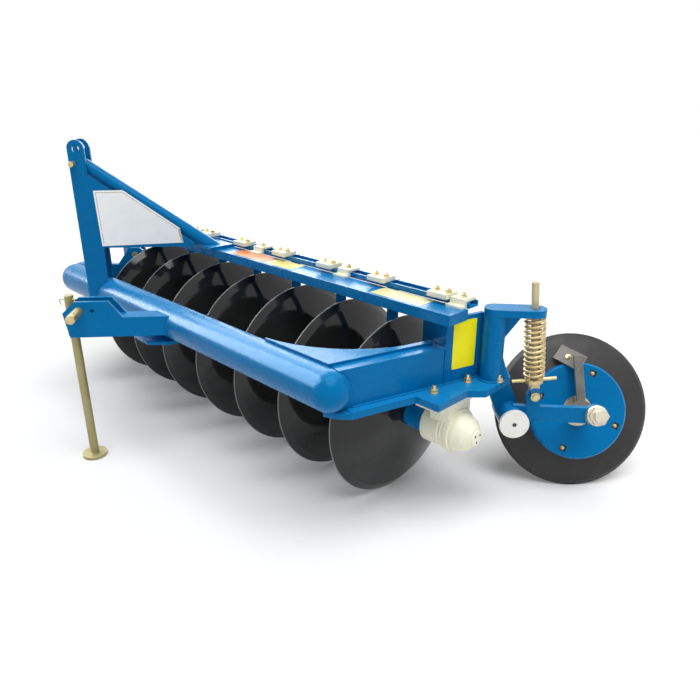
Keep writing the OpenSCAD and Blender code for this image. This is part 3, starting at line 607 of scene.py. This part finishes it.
def copy_of(pattern):
    piece = pattern.copy()
    piece.data = pattern.data.copy()
    bpy.context.scene.collection.objects.link(piece)
    return piece


def turn_to(place, out, spin=0.0):
    lean = Vector(out).to_track_quat("Z", "Y").to_matrix().to_4x4()
    return Matrix.Translation(place) @ lean @ Matrix.Rotation(spin, 4, "Z")


print("settling helpers ready")

# %% [markdown]
# ## Bars
# Nuts, washers and bosses are all turned or cut from bar, and their upper edge is broken so
# that it doesn't cut a hand. A cylinder that stands on its own base is the start for each,
# and a bevel of the edges at its top breaks them.

# %% Bar and broken edge
near = 1e-5


def stand_bar(sides, radius, high, low=0.0):
    deselect()
    bpy.ops.mesh.primitive_cylinder_add(
        vertices=sides, radius=radius, depth=high, location=(0, 0, low + high / 2))
    bar = bpy.context.object
    bpy.ops.object.transform_apply(location=True)
    bpy.ops.object.mode_set(mode="EDIT")
    return bar


def break_top(top, offset, segments=2):
    pick_edges(lambda a, b: min(a.z, b.z) > top - near)
    bpy.ops.mesh.bevel(offset=offset, segments=segments)


print("bars ready")

# %% [markdown]
# ## A nut with its bolt end
# Every bolted joint shows a washer, a hexagon nut with chamfered corners and the rounded
# end of the bolt. A six-sided bar is the start: its top edges are broken and its top is
# inset. Washer and bolt end are bars of their own. The bolt end is pulled up and narrowed in
# turns for the grooves of the thread. The three are joined into one pattern.

# %% Pattern of nut, washer and bolt end
nut_chamfer_share, nut_rim_share = 0.07, 0.1
washer_bevel_share = 0.3
thread_turns, groove_share, bolt_dome_share = 3, 0.86, 0.1
bolt_stub = 0.002
flat_up = 0.99


def model_nut(flats, high, bolt_d, bolt_out, washer_d, washer_t):
    corner = flats / 2 / cos(pi / 6)
    top = washer_t + high
    nut = stand_bar(6, corner, high, low=washer_t)
    break_top(top, flats * nut_chamfer_share)
    pick_faces(lambda c, n: n.z > flat_up and c.z > top - 10 * near)
    bpy.ops.mesh.inset(thickness=flats * nut_rim_share)
    washer = stand_bar(24, washer_d / 2, washer_t)
    break_top(washer_t, washer_t * washer_bevel_share)
    bolt = stand_bar(16, bolt_d / 2, bolt_stub, low=top - bolt_stub / 2)
    step = bolt_out / (2 * thread_turns)
    for _ in range(thread_turns):
        pick_faces(lambda c, n: n.z > flat_up)
        for narrowing in (groove_share, 1 / groove_share):
            up(step)
            bpy.ops.transform.resize(
                value=(narrowing, narrowing, 1), center_override=(0, 0, 0))
    bpy.ops.mesh.inset(thickness=bolt_d * bolt_dome_share)
    bpy.ops.transform.translate(value=(0, 0, bolt_d * bolt_dome_share))
    deselect()
    for part in (nut, washer, bolt):
        part.select_set(True)
    bpy.context.view_layer.objects.active = nut
    bpy.ops.object.join()
    return nut


big_nut = model_nut(
    flats=0.019, high=0.009, bolt_d=0.012, bolt_out=0.006, washer_d=0.026, washer_t=0.0025)
small_nut = model_nut(
    flats=0.016, high=0.006, bolt_d=0.010, bolt_out=0.0025, washer_d=0.021, washer_t=0.002)
print("patterns:", len(big_nut.data.polygons), "faces each")

# %% [markdown]
# ## Bolts of the bearings and the scraper bar
# Two bolts hold each bearing housing to its base plate and one the tail bracket; two hold
# each scraper clamp, one each bracket of the scraper bar. All are copies of the patterns,
# each turned a little, because nobody lines nuts up.

# %% Copies of the nuts
disc_pitch, disc_count = 0.226, 7
clamp_in, clamp_bolt = 0.093, 0.02
clamp_y, bracket_y = 0.017, 0.031
bracket_step = 0.435
bearing_bolt_s, bearing_bolt_y = 0.872, 0.077
nut_spin = 0.5


def at_gang(s, y, z):
    return Vector((
        gang_point.x + s * cos(gang_turn) + y * sin(gang_turn),
        gang_point.y - s * sin(gang_turn) + y * cos(gang_turn), z))


plate_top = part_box("left_base_plate")[1].z
clamp_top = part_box("scraper_clamps")[1].z
bracket_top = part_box("bar_brackets")[1].z
big_spots = [
    at_gang(bearing_bolt_s, -bearing_bolt_y, plate_top),
    at_gang(0.894, 0.046, plate_top),
    at_gang(-bearing_bolt_s, -bearing_bolt_y, plate_top),
    at_gang(-bearing_bolt_s, bearing_bolt_y, plate_top),
    at_tail(0.1655, -0.0115, plate_top),
]
small_spots = [
    at_gang((k - disc_count // 2) * disc_pitch - clamp_in + side, clamp_y, clamp_top)
    for k in range(disc_count + 1) for side in (-clamp_bolt, clamp_bolt)]
small_spots += [at_gang(k * bracket_step, bracket_y, bracket_top) for k in (-2, -1, 0, 1, 2)]
for pattern, spots, label in (
        (big_nut, big_spots, "plate_nut"), (small_nut, small_spots, "bar_nut")):
    for k, spot in enumerate(spots):
        settle(copy_of(pattern), f"{label}_{k + 1}", "frame", gold_zinc,
               turn_to(spot, (0, 0, 1), nut_spin * k), angle=30)
print(len(big_spots), "large nuts,", len(small_spots), "small nuts")

# %% [markdown]
# ## Bolts of the tail wheel
# Four bolts clamp the dished blade between the hub's plates. Each sits in a square pocket
# of the blue plate, which looks dark because it is deep. A thin dark tray with a raised rim
# lines the pocket as painted shade for that depth, and the bolt end stands in it.

# %% Painted-shade trays and bolt ends
tray_size, tray_high = 0.0196, 0.0052
tray_rim, tray_deep = 0.0012, 0.0045
pocket_count, pocket_turn = 4, radians(-22)
pocket_spot = Matrix.Translation((0.124, 0, 0.0625))
pocket_nut_share = 0.62
axle_x = Vector((cos(toe), -sin(toe), 0))
axle_up = axle_out.cross(axle_x)
axle_frame = Matrix((
    (axle_x.x, axle_up.x, axle_out.x, wheel_middle.x),
    (axle_x.y, axle_up.y, axle_out.y, wheel_middle.y),
    (axle_x.z, axle_up.z, axle_out.z, wheel_middle.z),
    (0, 0, 0, 1)))

# Painted shade: a near-black lining stands in for the shade deep in each pocket.
pocket_painted_shade = finish(
    "pocket_painted_shade", (0.012, 0.014, 0.018), (0.03, 0.034, 0.04), (0.05, 0.07, 0.1),
    (0.5, 0.7), (300.0, 0.2, 0.0004), patch=60.0, edge_r=0.001)
deselect()
bpy.ops.mesh.primitive_plane_add(size=tray_size, location=(0, 0, 0))
shade_tray = bpy.context.object
bpy.ops.object.mode_set(mode="EDIT")
bpy.ops.mesh.select_all(action="SELECT")
up(tray_high)
pick_faces(lambda c, n: n.z > flat_up and c.z > tray_high / 2)
bpy.ops.mesh.inset(thickness=tray_rim)
up(-tray_deep)
close_mesh()
for k in range(pocket_count):
    turn = 2 * pi * k / pocket_count + pocket_turn
    spot = axle_frame @ Matrix.Rotation(turn, 4, "Z") @ pocket_spot
    settle(copy_of(shade_tray), f"wheel_pocket_shade_{k + 1}", "tail_wheel", pocket_painted_shade, spot)
    settle(copy_of(small_nut), f"wheel_nut_{k + 1}", "tail_wheel", gold_zinc,
           spot @ Matrix.Scale(pocket_nut_share, 4), angle=30)
bpy.data.objects.remove(shade_tray)
print(pocket_count, "pockets and bolt ends on the wheel")

# %% [markdown]
# ## Spring
# The compression spring is round wire wound on a mandrel. A circle set off from the axis
# and carried round by a Screw modifier gives the same thing, smoother than the solid that
# it stands for. The ends are capped, and the coil stands between its seat and the arm.

# %% Wound spring
wire_r, coil_r = 0.004, 0.026
coil_low, coil_high, coils = 0.0562, 0.2306, 12
rod_lean = radians(5.205)

rod_frame = (Matrix.Translation(fork_point) @ Matrix.Rotation(-toe, 4, "Z")
             @ Matrix.Rotation(-rod_lean, 4, "Y"))
deselect()
bpy.ops.mesh.primitive_circle_add(
    vertices=12, radius=wire_r, location=(coil_r, 0, 0), rotation=(pi / 2, 0, 0))
spring = bpy.context.object
bpy.ops.object.transform_apply(location=True, rotation=True)
winding = spring.modifiers.new("winding", "SCREW")
winding.axis = "Z"
winding.screw_offset = (coil_high - coil_low) / coils
winding.iterations = coils
winding.steps = winding.render_steps = 32
bpy.ops.object.modifier_apply(modifier="winding")
bpy.ops.object.mode_set(mode="EDIT")
bpy.ops.mesh.select_all(action="SELECT")
bpy.ops.mesh.remove_doubles(threshold=weld_distance)
bpy.ops.mesh.select_all(action="SELECT")
bpy.ops.mesh.fill_holes(sides=0)
close_mesh()
settle(spring, "wound_spring", "frame", gold_zinc,
       rod_frame @ Matrix.Translation((0, 0, coil_low)), angle=50)
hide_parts("spring")
print("spring of", len(spring.data.polygons), "faces")

# %% [markdown]
# ## Sheets cut to an outline
# Panels and plates are cut from sheet. A plane a little larger than the outline is cut by
# bisect along each side in turn, and what lies outside is cleared.

# %% Sheet cutter
sheet_spare = 1.02


def cut_sheet(corners):
    low = Vector((min(c[0] for c in corners), min(c[1] for c in corners), 0))
    high = Vector((max(c[0] for c in corners), max(c[1] for c in corners), 0))
    deselect()
    bpy.ops.mesh.primitive_plane_add(size=1, location=(low + high) / 2)
    sheet = bpy.context.object
    sheet.scale = ((high.x - low.x) * sheet_spare, (high.y - low.y) * sheet_spare, 1)
    bpy.ops.object.transform_apply(location=True, scale=True)
    bpy.ops.object.mode_set(mode="EDIT")
    for k, spot in enumerate(corners):
        here = Vector((*spot, 0))
        after = Vector((*corners[(k + 1) % len(corners)], 0))
        outward = (after - here).cross(Vector((0, 0, 1)))
        bpy.ops.mesh.select_all(action="SELECT")
        bpy.ops.mesh.bisect(plane_co=here, plane_no=outward.normalized(), clear_outer=True)
    bpy.ops.mesh.select_all(action="SELECT")
    return sheet


print("sheet cutter ready")

# %% [markdown]
# ## Mast panel
# A blank white panel with a fine tan border sits on the mast's web. It is cut from a sheet,
# given a thin edge by extrude and its border by two insets.

# %% Blank panel on the mast
panel_proud, panel_margin, panel_line = 0.0008, 0.006, 0.0022
film_grain, film_edge = (150.0, 0.08, 0.0003), 0.0006
web_corners = [
    (-0.770, 0.6535), (-0.482, 0.662), (-0.490, 0.714), (-0.674, 0.850), (-0.775, 0.849)]

panel_white = finish(
    "panel_white", (0.87, 0.90, 0.91), (0.92, 0.94, 0.95), (0.95, 0.95, 0.95),
    (0.3, 0.42), film_grain, patch=25.0, edge_r=film_edge)
panel_border = finish(
    "panel_border", (0.42, 0.34, 0.24), (0.60, 0.54, 0.44), (0.7, 0.66, 0.6),
    (0.35, 0.5), film_grain, patch=60.0, edge_r=film_edge)


def model_panel(corners):
    sheet = cut_sheet(corners)
    up(panel_proud)
    bpy.ops.mesh.select_all(action="SELECT")
    bpy.ops.mesh.normals_make_consistent(inside=False)
    pick_faces(lambda c, n: n.z > flat_up and c.z > panel_proud / 2)
    bpy.ops.mesh.inset(thickness=panel_margin)
    bpy.ops.mesh.inset(thickness=panel_line)
    bpy.ops.object.mode_set(mode="OBJECT")
    return sheet


mast_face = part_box("mast")[0].y
upright_left = Matrix.Translation((0, mast_face, 0)) @ Matrix.Rotation(pi / 2, 4, "X")
mast_panel = model_panel(web_corners)
rings = [p for p in mast_panel.data.polygons if p.normal.z > flat_up and len(p.vertices) == 4]
border = [p.index for p in sorted(rings, key=lambda p: p.area)[:len(web_corners)]]
settle(mast_panel, "mast_panel", "frame", panel_white, upright_left)
mast_panel.data.materials.append(panel_border)
for k in border:
    mast_panel.data.polygons[k].material_index = 1
print("mast panel with", len(mast_panel.data.polygons), "faces")

# %% [markdown]
# ## Coloured vinyl
# The stickers are printed film: flat, even in colour and a little shiny. Four colours share
# one film, so only the colours are given for each.

# %% Vinyl in four colours
def vinyl(name, colour, pale):
    bright = tuple(min(1, v * 1.1) for v in pale)
    return finish(name, colour, pale, bright, (0.28, 0.4), film_grain,
                  patch=14.0, edge_r=film_edge, specular=0.2)


yellow_vinyl = vinyl("yellow_vinyl", (0.96, 0.85, 0.004), (0.99, 0.90, 0.008))
orange_vinyl = vinyl("orange_vinyl", (0.84, 0.27, 0.10), (0.90, 0.42, 0.22))
straw_vinyl = vinyl("straw_vinyl", (0.80, 0.72, 0.19), (0.88, 0.80, 0.32))
cream_vinyl = vinyl("cream_vinyl", (0.86, 0.80, 0.36), (0.90, 0.84, 0.48))
print("four vinyls ready")

# %% [markdown]
# ## Stickers
# Blank vinyl sits on the left post and on the beam. Each sticker is a plane with rounded
# corners, made by a bevel of its vertices, and has a thin edge by extrude. The post stands at
# the end of the left arm, which is turned by 74 degrees from the gang, so places there are
# given along and across that arm.

# %% Blank stickers on post and beam
sticker_corner, sticker_proud = 0.004, 0.0006
post_sticker_size = (0.078, 0.140)
beam_sticker_wide, beam_sticker_y = 0.066, -0.026
arm_turn, arm_spot = radians(74), 0.83


def at_arm(a, b, z):
    return at_gang(
        arm_spot + a * cos(arm_turn) - b * sin(arm_turn), a * sin(arm_turn) + b * cos(arm_turn), z)


def model_sticker(wide, tall):
    deselect()
    bpy.ops.mesh.primitive_plane_add(size=1)
    sheet = bpy.context.object
    sheet.scale = (wide, tall, 1)
    bpy.ops.object.transform_apply(scale=True)
    bpy.ops.object.mode_set(mode="EDIT")
    bpy.ops.mesh.select_all(action="SELECT")
    bpy.ops.mesh.bevel(offset=sticker_corner, segments=3, affect="VERTICES")
    bpy.ops.mesh.select_all(action="SELECT")
    up(sticker_proud)
    close_mesh()
    return sheet


post_out = Vector((
    sin(arm_turn) * cos(gang_turn) - cos(arm_turn) * sin(gang_turn),
    -sin(arm_turn) * sin(gang_turn) - cos(arm_turn) * cos(gang_turn), 0))
post_along = Vector((0, 0, 1)).cross(post_out)
post_spot = at_arm(0.052, -0.035, 0.5225)
post_frame = Matrix((
    (post_along.x, 0, post_out.x, post_spot.x),
    (post_along.y, 0, post_out.y, post_spot.y),
    (0, 1, 0, post_spot.z),
    (0, 0, 0, 1)))
settle(model_sticker(*post_sticker_size), "post_sticker", "frame", yellow_vinyl,
       post_frame)
beam_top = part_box("rear_beam")[1].z
along_beam = Matrix.Rotation(-gang_turn, 4, "Z")
for name, material, low, high in (
        ("beam_sticker_1", orange_vinyl, -0.078, 0.112),
        ("beam_sticker_2", straw_vinyl, 0.120, 0.256),
        ("beam_sticker_3", cream_vinyl, 0.612, 0.795)):
    spot = at_gang((low + high) / 2, beam_sticker_y, beam_top)
    settle(model_sticker(high - low, beam_sticker_wide), name, "frame", material,
           Matrix.Translation(spot) @ along_beam)
print("four blank stickers placed")

# %% [markdown]
# ## Wing plate and plate tip
# A five-sided plate under the tube stiffens the left bracket; only its front edge shows. The
# left base plate runs out in a tip under the tube's end. Both are cut from a sheet like the
# panel, extruded to their thickness, and their sharp corners broken.

# %% Wing plate and plate tip
tube_low = 0.411
wing_t, wing_drop = 0.012, 0.010
plate_corner = 0.0015
wing_corners = [
    (-0.568, -0.232), (-0.500, -0.240), (-0.458, -0.220), (-0.560, -0.098), (-0.629, -0.155)]
tip_corners = [at_arm(a, b, 0).xy for a, b in (
    (-0.312, -0.0605), (-0.312, -0.010), (-0.372, -0.010),
    (-0.3515, -0.039), (-0.3185, -0.0605))]


def model_plate(corners, thick):
    plate = cut_sheet(corners)
    up(thick)
    close_mesh()
    bpy.ops.object.mode_set(mode="EDIT")
    bpy.ops.mesh.select_all(action="SELECT")
    bpy.ops.mesh.bevel(offset=plate_corner, segments=2)
    close_mesh()
    return plate


settle(model_plate(wing_corners, wing_t), "left_wing_plate", "frame", blue_paint,
       Matrix.Translation((0, 0, tube_low - wing_drop)))
plate_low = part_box("left_base_plate")[0].z
settle(model_plate(tip_corners, tube_low - plate_low), "left_plate_tip", "frame",
       blue_paint, Matrix.Translation((0, 0, plate_low)))
print("wing plate under the tube at", tube_low, "and plate tip from", round(plate_low, 3))

# %% [markdown]
# ## Weld beads
# Plates meet in fillet welds under the paint. A bead is a round rod with rings: the long
# edges of an eight-sided cylinder are subdivided, and every second ring is drawn in, which
# gives the ripple that a moving torch leaves.

# %% Straight beads
ripple_share, ripple_pitch_share = 0.8, 1.2


def model_bead(start, end, thick):
    span = Vector(end) - Vector(start)
    rings = max(4, int(span.length / (thick * ripple_pitch_share)))
    deselect()
    bpy.ops.mesh.primitive_cylinder_add(vertices=8, radius=thick, depth=span.length)
    bead = bpy.context.object
    bpy.ops.object.mode_set(mode="EDIT")
    half = span.length / 2
    pick_edges(lambda a, b: abs(a.z - b.z) > half)
    bpy.ops.mesh.subdivide(number_cuts=rings - 1)
    step = span.length / rings
    pick_edges(lambda a, b: abs(a.z - b.z) < near and round((a.z + half) / step) % 2 == 0)
    bpy.ops.transform.resize(value=(ripple_share, ripple_share, 1), center_override=(0, 0, 0))
    close_mesh()
    bead.data.transform(turn_to((Vector(start) + Vector(end)) / 2, span.normalized()))
    return bead


thick_bead, thin_bead = 0.0035, 0.003
side_b, end_a = -0.036, -0.011
arm_low, arm_high = plate_top + 0.001, plate_top + 0.108
beam_low = beam_top - 0.031
bead_lines = [
    (at_arm(-0.30, side_b, arm_low), at_arm(-0.012, side_b, arm_low), thick_bead),
    (at_arm(-0.010, side_b, arm_low), at_arm(0.112, side_b, arm_low), thick_bead),
    (at_arm(end_a, -0.034, arm_high), at_arm(end_a, 0.034, arm_high), thick_bead),
    (at_arm(end_a, side_b, plate_top + 0.004), at_arm(end_a, side_b, plate_top + 0.106), thin_bead),
    (at_arm(-0.008, side_b, beam_low), at_arm(0.030, side_b, beam_low), thin_bead),
]
for k, (start, end, thick) in enumerate(bead_lines):
    settle(model_bead(start, end, thick), f"weld_bead_{k + 1}", "frame", blue_paint,
           angle=60)
print(len(bead_lines), "straight beads")

# %% [markdown]
# ## Round bead
# The tail post stands on its plate in a ring of weld. A small circle, spun round the post,
# gives the ring; its seam is merged before the normals are set.

# %% Ring of weld
def model_ring(radius, thick):
    deselect()
    bpy.ops.mesh.primitive_circle_add(
        vertices=8, radius=thick, location=(radius, 0, 0), rotation=(pi / 2, 0, 0))
    ring = bpy.context.object
    bpy.ops.object.transform_apply(location=True, rotation=True)
    bpy.ops.object.mode_set(mode="EDIT")
    bpy.ops.mesh.select_all(action="SELECT")
    bpy.ops.mesh.spin(steps=48, angle=2 * pi, center=(0, 0, 0), axis=(0, 0, 1))
    close_mesh()
    return ring


tail_post_r, tail_post_spot = 0.032, at_tail(0.144, 0.008, arm_low)
settle(model_ring(tail_post_r, thick_bead), "post_ring", "frame", blue_paint,
       Matrix.Translation(tail_post_spot), angle=60)
print("ring of weld at the tail post")

# %% [markdown]
# ## Cast ridges and end boss of the bearings
# The bearing housings are castings: two ridges run round the barrel beside the ring, and the
# cap ends in a flat boss with three small tapped holes. The ridges are spun like the weld
# ring. The boss is a short bar with its edge broken, and the three holes are small cylinders
# cut out by a Boolean. The faces of the holes are then found by their size and by their
# distance from the axis, and made dark as painted shade.

# %% Ridges and bosses
ridge_r, ridge_t, ridge_places = 0.0605, 0.0032, (0.873, 0.885)
boss_s, boss_r, boss_t = 0.9648, 0.0235, 0.006
boss_bevel_share = 0.4
hole_count, hole_r, hole_at, hole_turn = 3, 0.0034, 0.013, 0.4
hole_middle_share = 0.8
hole_reach, hole_face_area = 0.0175, 6e-5
shaft_z = gang_point.z


def model_boss():
    boss = stand_bar(48, boss_r, boss_t)
    break_top(boss_t, boss_t * boss_bevel_share, segments=3)
    bpy.ops.object.mode_set(mode="OBJECT")
    for k in range(hole_count):
        turn = 2 * pi * k / hole_count + hole_turn
        deselect()
        bpy.ops.mesh.primitive_cylinder_add(
            vertices=16, radius=hole_r, depth=boss_t,
            location=(hole_at * cos(turn), hole_at * sin(turn), boss_t * hole_middle_share))
        drill = bpy.context.object
        cut = boss.modifiers.new("hole", "BOOLEAN")
        cut.operation = "DIFFERENCE"
        cut.object = drill
        make_active(boss)
        bpy.ops.object.modifier_apply(modifier="hole")
        bpy.data.objects.remove(drill)
    return boss


# Painted shade: the faces inside the tapped holes are made near black for the shade in them.
hole_painted_shade = finish(
    "hole_painted_shade", (0.02, 0.018, 0.012), (0.05, 0.045, 0.03), (0.1, 0.09, 0.06),
    (0.6, 0.8), (300.0, 0.1, 0.0003), patch=80.0, edge_r=0.0006)
for side, end in ((1, "left"), (-1, "right")):
    out = gang_axis * side
    for k, s in enumerate(ridge_places):
        settle(model_ring(ridge_r, ridge_t), f"{end}_bearing_ridge_{k + 1}", "frame",
               cream_cast, turn_to(at_gang(side * s, 0, shaft_z), out), angle=60)
    boss_spot = at_gang(side * boss_s, 0, shaft_z)
    boss = settle(model_boss(), f"{end}_bearing_boss", "frame", cream_cast,
                  turn_to(boss_spot, out))
    boss.data.materials.append(hole_painted_shade)
    for face in boss.data.polygons:
        away = (face.center - boss_spot).cross(gang_axis).length
        if away < hole_reach and face.area < hole_face_area:
            face.material_index = 1
print("ridges and bosses on both bearings")

# %% [markdown]
# ## Tapered washer
# The cambered axle leaves its upright arm at an angle, so a tapered washer fills the wedge
# under the nut. It is a round bar, cut by a slanting plane and filled there.

# %% Tapered washer
taper_r, taper_low, taper_l = 0.030, 0.1675, 0.06
taper_cut, taper_bevel = 0.2072, 0.002

taper = stand_bar(40, taper_r, taper_l, low=taper_low)
bpy.ops.mesh.select_all(action="SELECT")
bpy.ops.mesh.bisect(plane_co=(0, 0, taper_cut), plane_no=(0, -sin(camber), cos(camber)),
                    clear_inner=True, use_fill=True)
break_top(taper_low + taper_l, taper_bevel)
close_mesh()
settle(taper, "taper_washer", "frame", pale_zinc, axle_frame)
print("tapered washer of", len(taper.data.polygons), "faces")

# %% [markdown]
# ## Wiper bolts
# Two small bolts hold the wiper on its strap. The wiper leans on the blade, so its own frame
# is turned from the axle's, and the bolts are copies of the small nut, a fifth smaller.

# %% Wiper bolts
wiper_spot, wiper_turn, wiper_dip = (0.011, 0.162, 0.096), radians(145), radians(42.6)
wiper_bolts, wiper_y, wiper_z, wiper_nut_share = (0.016, 0.044), 0.019, 0.006, 0.8

wiper_frame = (axle_frame @ Matrix.Translation(wiper_spot) @ Matrix.Rotation(wiper_turn, 4, "Z")
               @ Matrix.Rotation(wiper_dip, 4, "Y"))
for k, along in enumerate(wiper_bolts):
    spot = wiper_frame @ Matrix.Translation((along, wiper_y, wiper_z))
    settle(copy_of(small_nut), f"wiper_nut_{k + 1}", "frame", gold_zinc,
           spot @ Matrix.Scale(wiper_nut_share, 4), angle=30)
print(len(wiper_bolts), "wiper bolts")

# %% [markdown]
# ## Fork washer
# A flat washer holds the pin of the spring rod's fork. It is a short bar; both flat sides are
# inset, and a bridge between the two inner faces opens the hole.

# %% Fork washer
fork_side = -0.0195


def model_washer(outer, inner, thick):
    washer = stand_bar(32, outer, thick)
    break_top(thick, thick * washer_bevel_share)
    pick_faces(lambda c, n: abs(n.z) > flat_up)
    bpy.ops.mesh.inset(thickness=outer - inner)
    bpy.ops.mesh.bridge_edge_loops()
    close_mesh()
    return washer


settle(model_washer(outer=0.0135, inner=0.0083, thick=0.003), "fork_washer", "frame",
       gold_zinc, turn_to(at_tail(fork_x, fork_side, fork_z), -pivot_axis))
print("fork washer set")

# %% [markdown]
# ## Keeper of the parking leg
# A pin through the leg's head, with a ring to pull it by, keeps the leg from falling out of
# its sleeve when the plough is lifted. It moves with the leg.

# %% Leg pin and ring
keeper_r, keeper_l, keeper_down = 0.004, 0.05, 0.013
ring_r, ring_wire = 0.012, 0.0018
ring_offset = Vector((-0.021, 0.005, -0.010))
keeper_bevel, keeper_way, ring_way = 0.0015, (1, -0.25, 0), (0.3, 1, 0)

leg_low, leg_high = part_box("parking_leg")
leg_x, leg_y = (leg_low.x + leg_high.x) / 2, (leg_low.y + leg_high.y) / 2
deselect()
bpy.ops.mesh.primitive_cylinder_add(vertices=16, radius=keeper_r, depth=keeper_l)
keeper = bpy.context.object
bpy.ops.object.mode_set(mode="EDIT")
pick_edges(lambda a, b: min(abs(a.z), abs(b.z)) > keeper_l / 2 - near and a.z * b.z > 0)
bpy.ops.mesh.bevel(offset=keeper_bevel, segments=2)
close_mesh()
keeper_spot = Vector((leg_x, leg_y, leg_high.z - keeper_down))
settle(keeper, "leg_pin", "leg", gold_zinc, turn_to(keeper_spot, keeper_way))
settle(model_ring(ring_r, ring_wire), "leg_pull_ring", "leg", gold_zinc,
       turn_to(keeper_spot + ring_offset, ring_way), angle=60)
print("leg pin at", tuple(round(v, 3) for v in keeper_spot))

# %% [markdown]
# ## Putting the patterns away
# The nut patterns are put away and the scene is brought up to date.

# %% Put the patterns away
for pattern in (big_nut, small_nut):
    bpy.data.objects.remove(pattern)
bpy.context.view_layer.update()
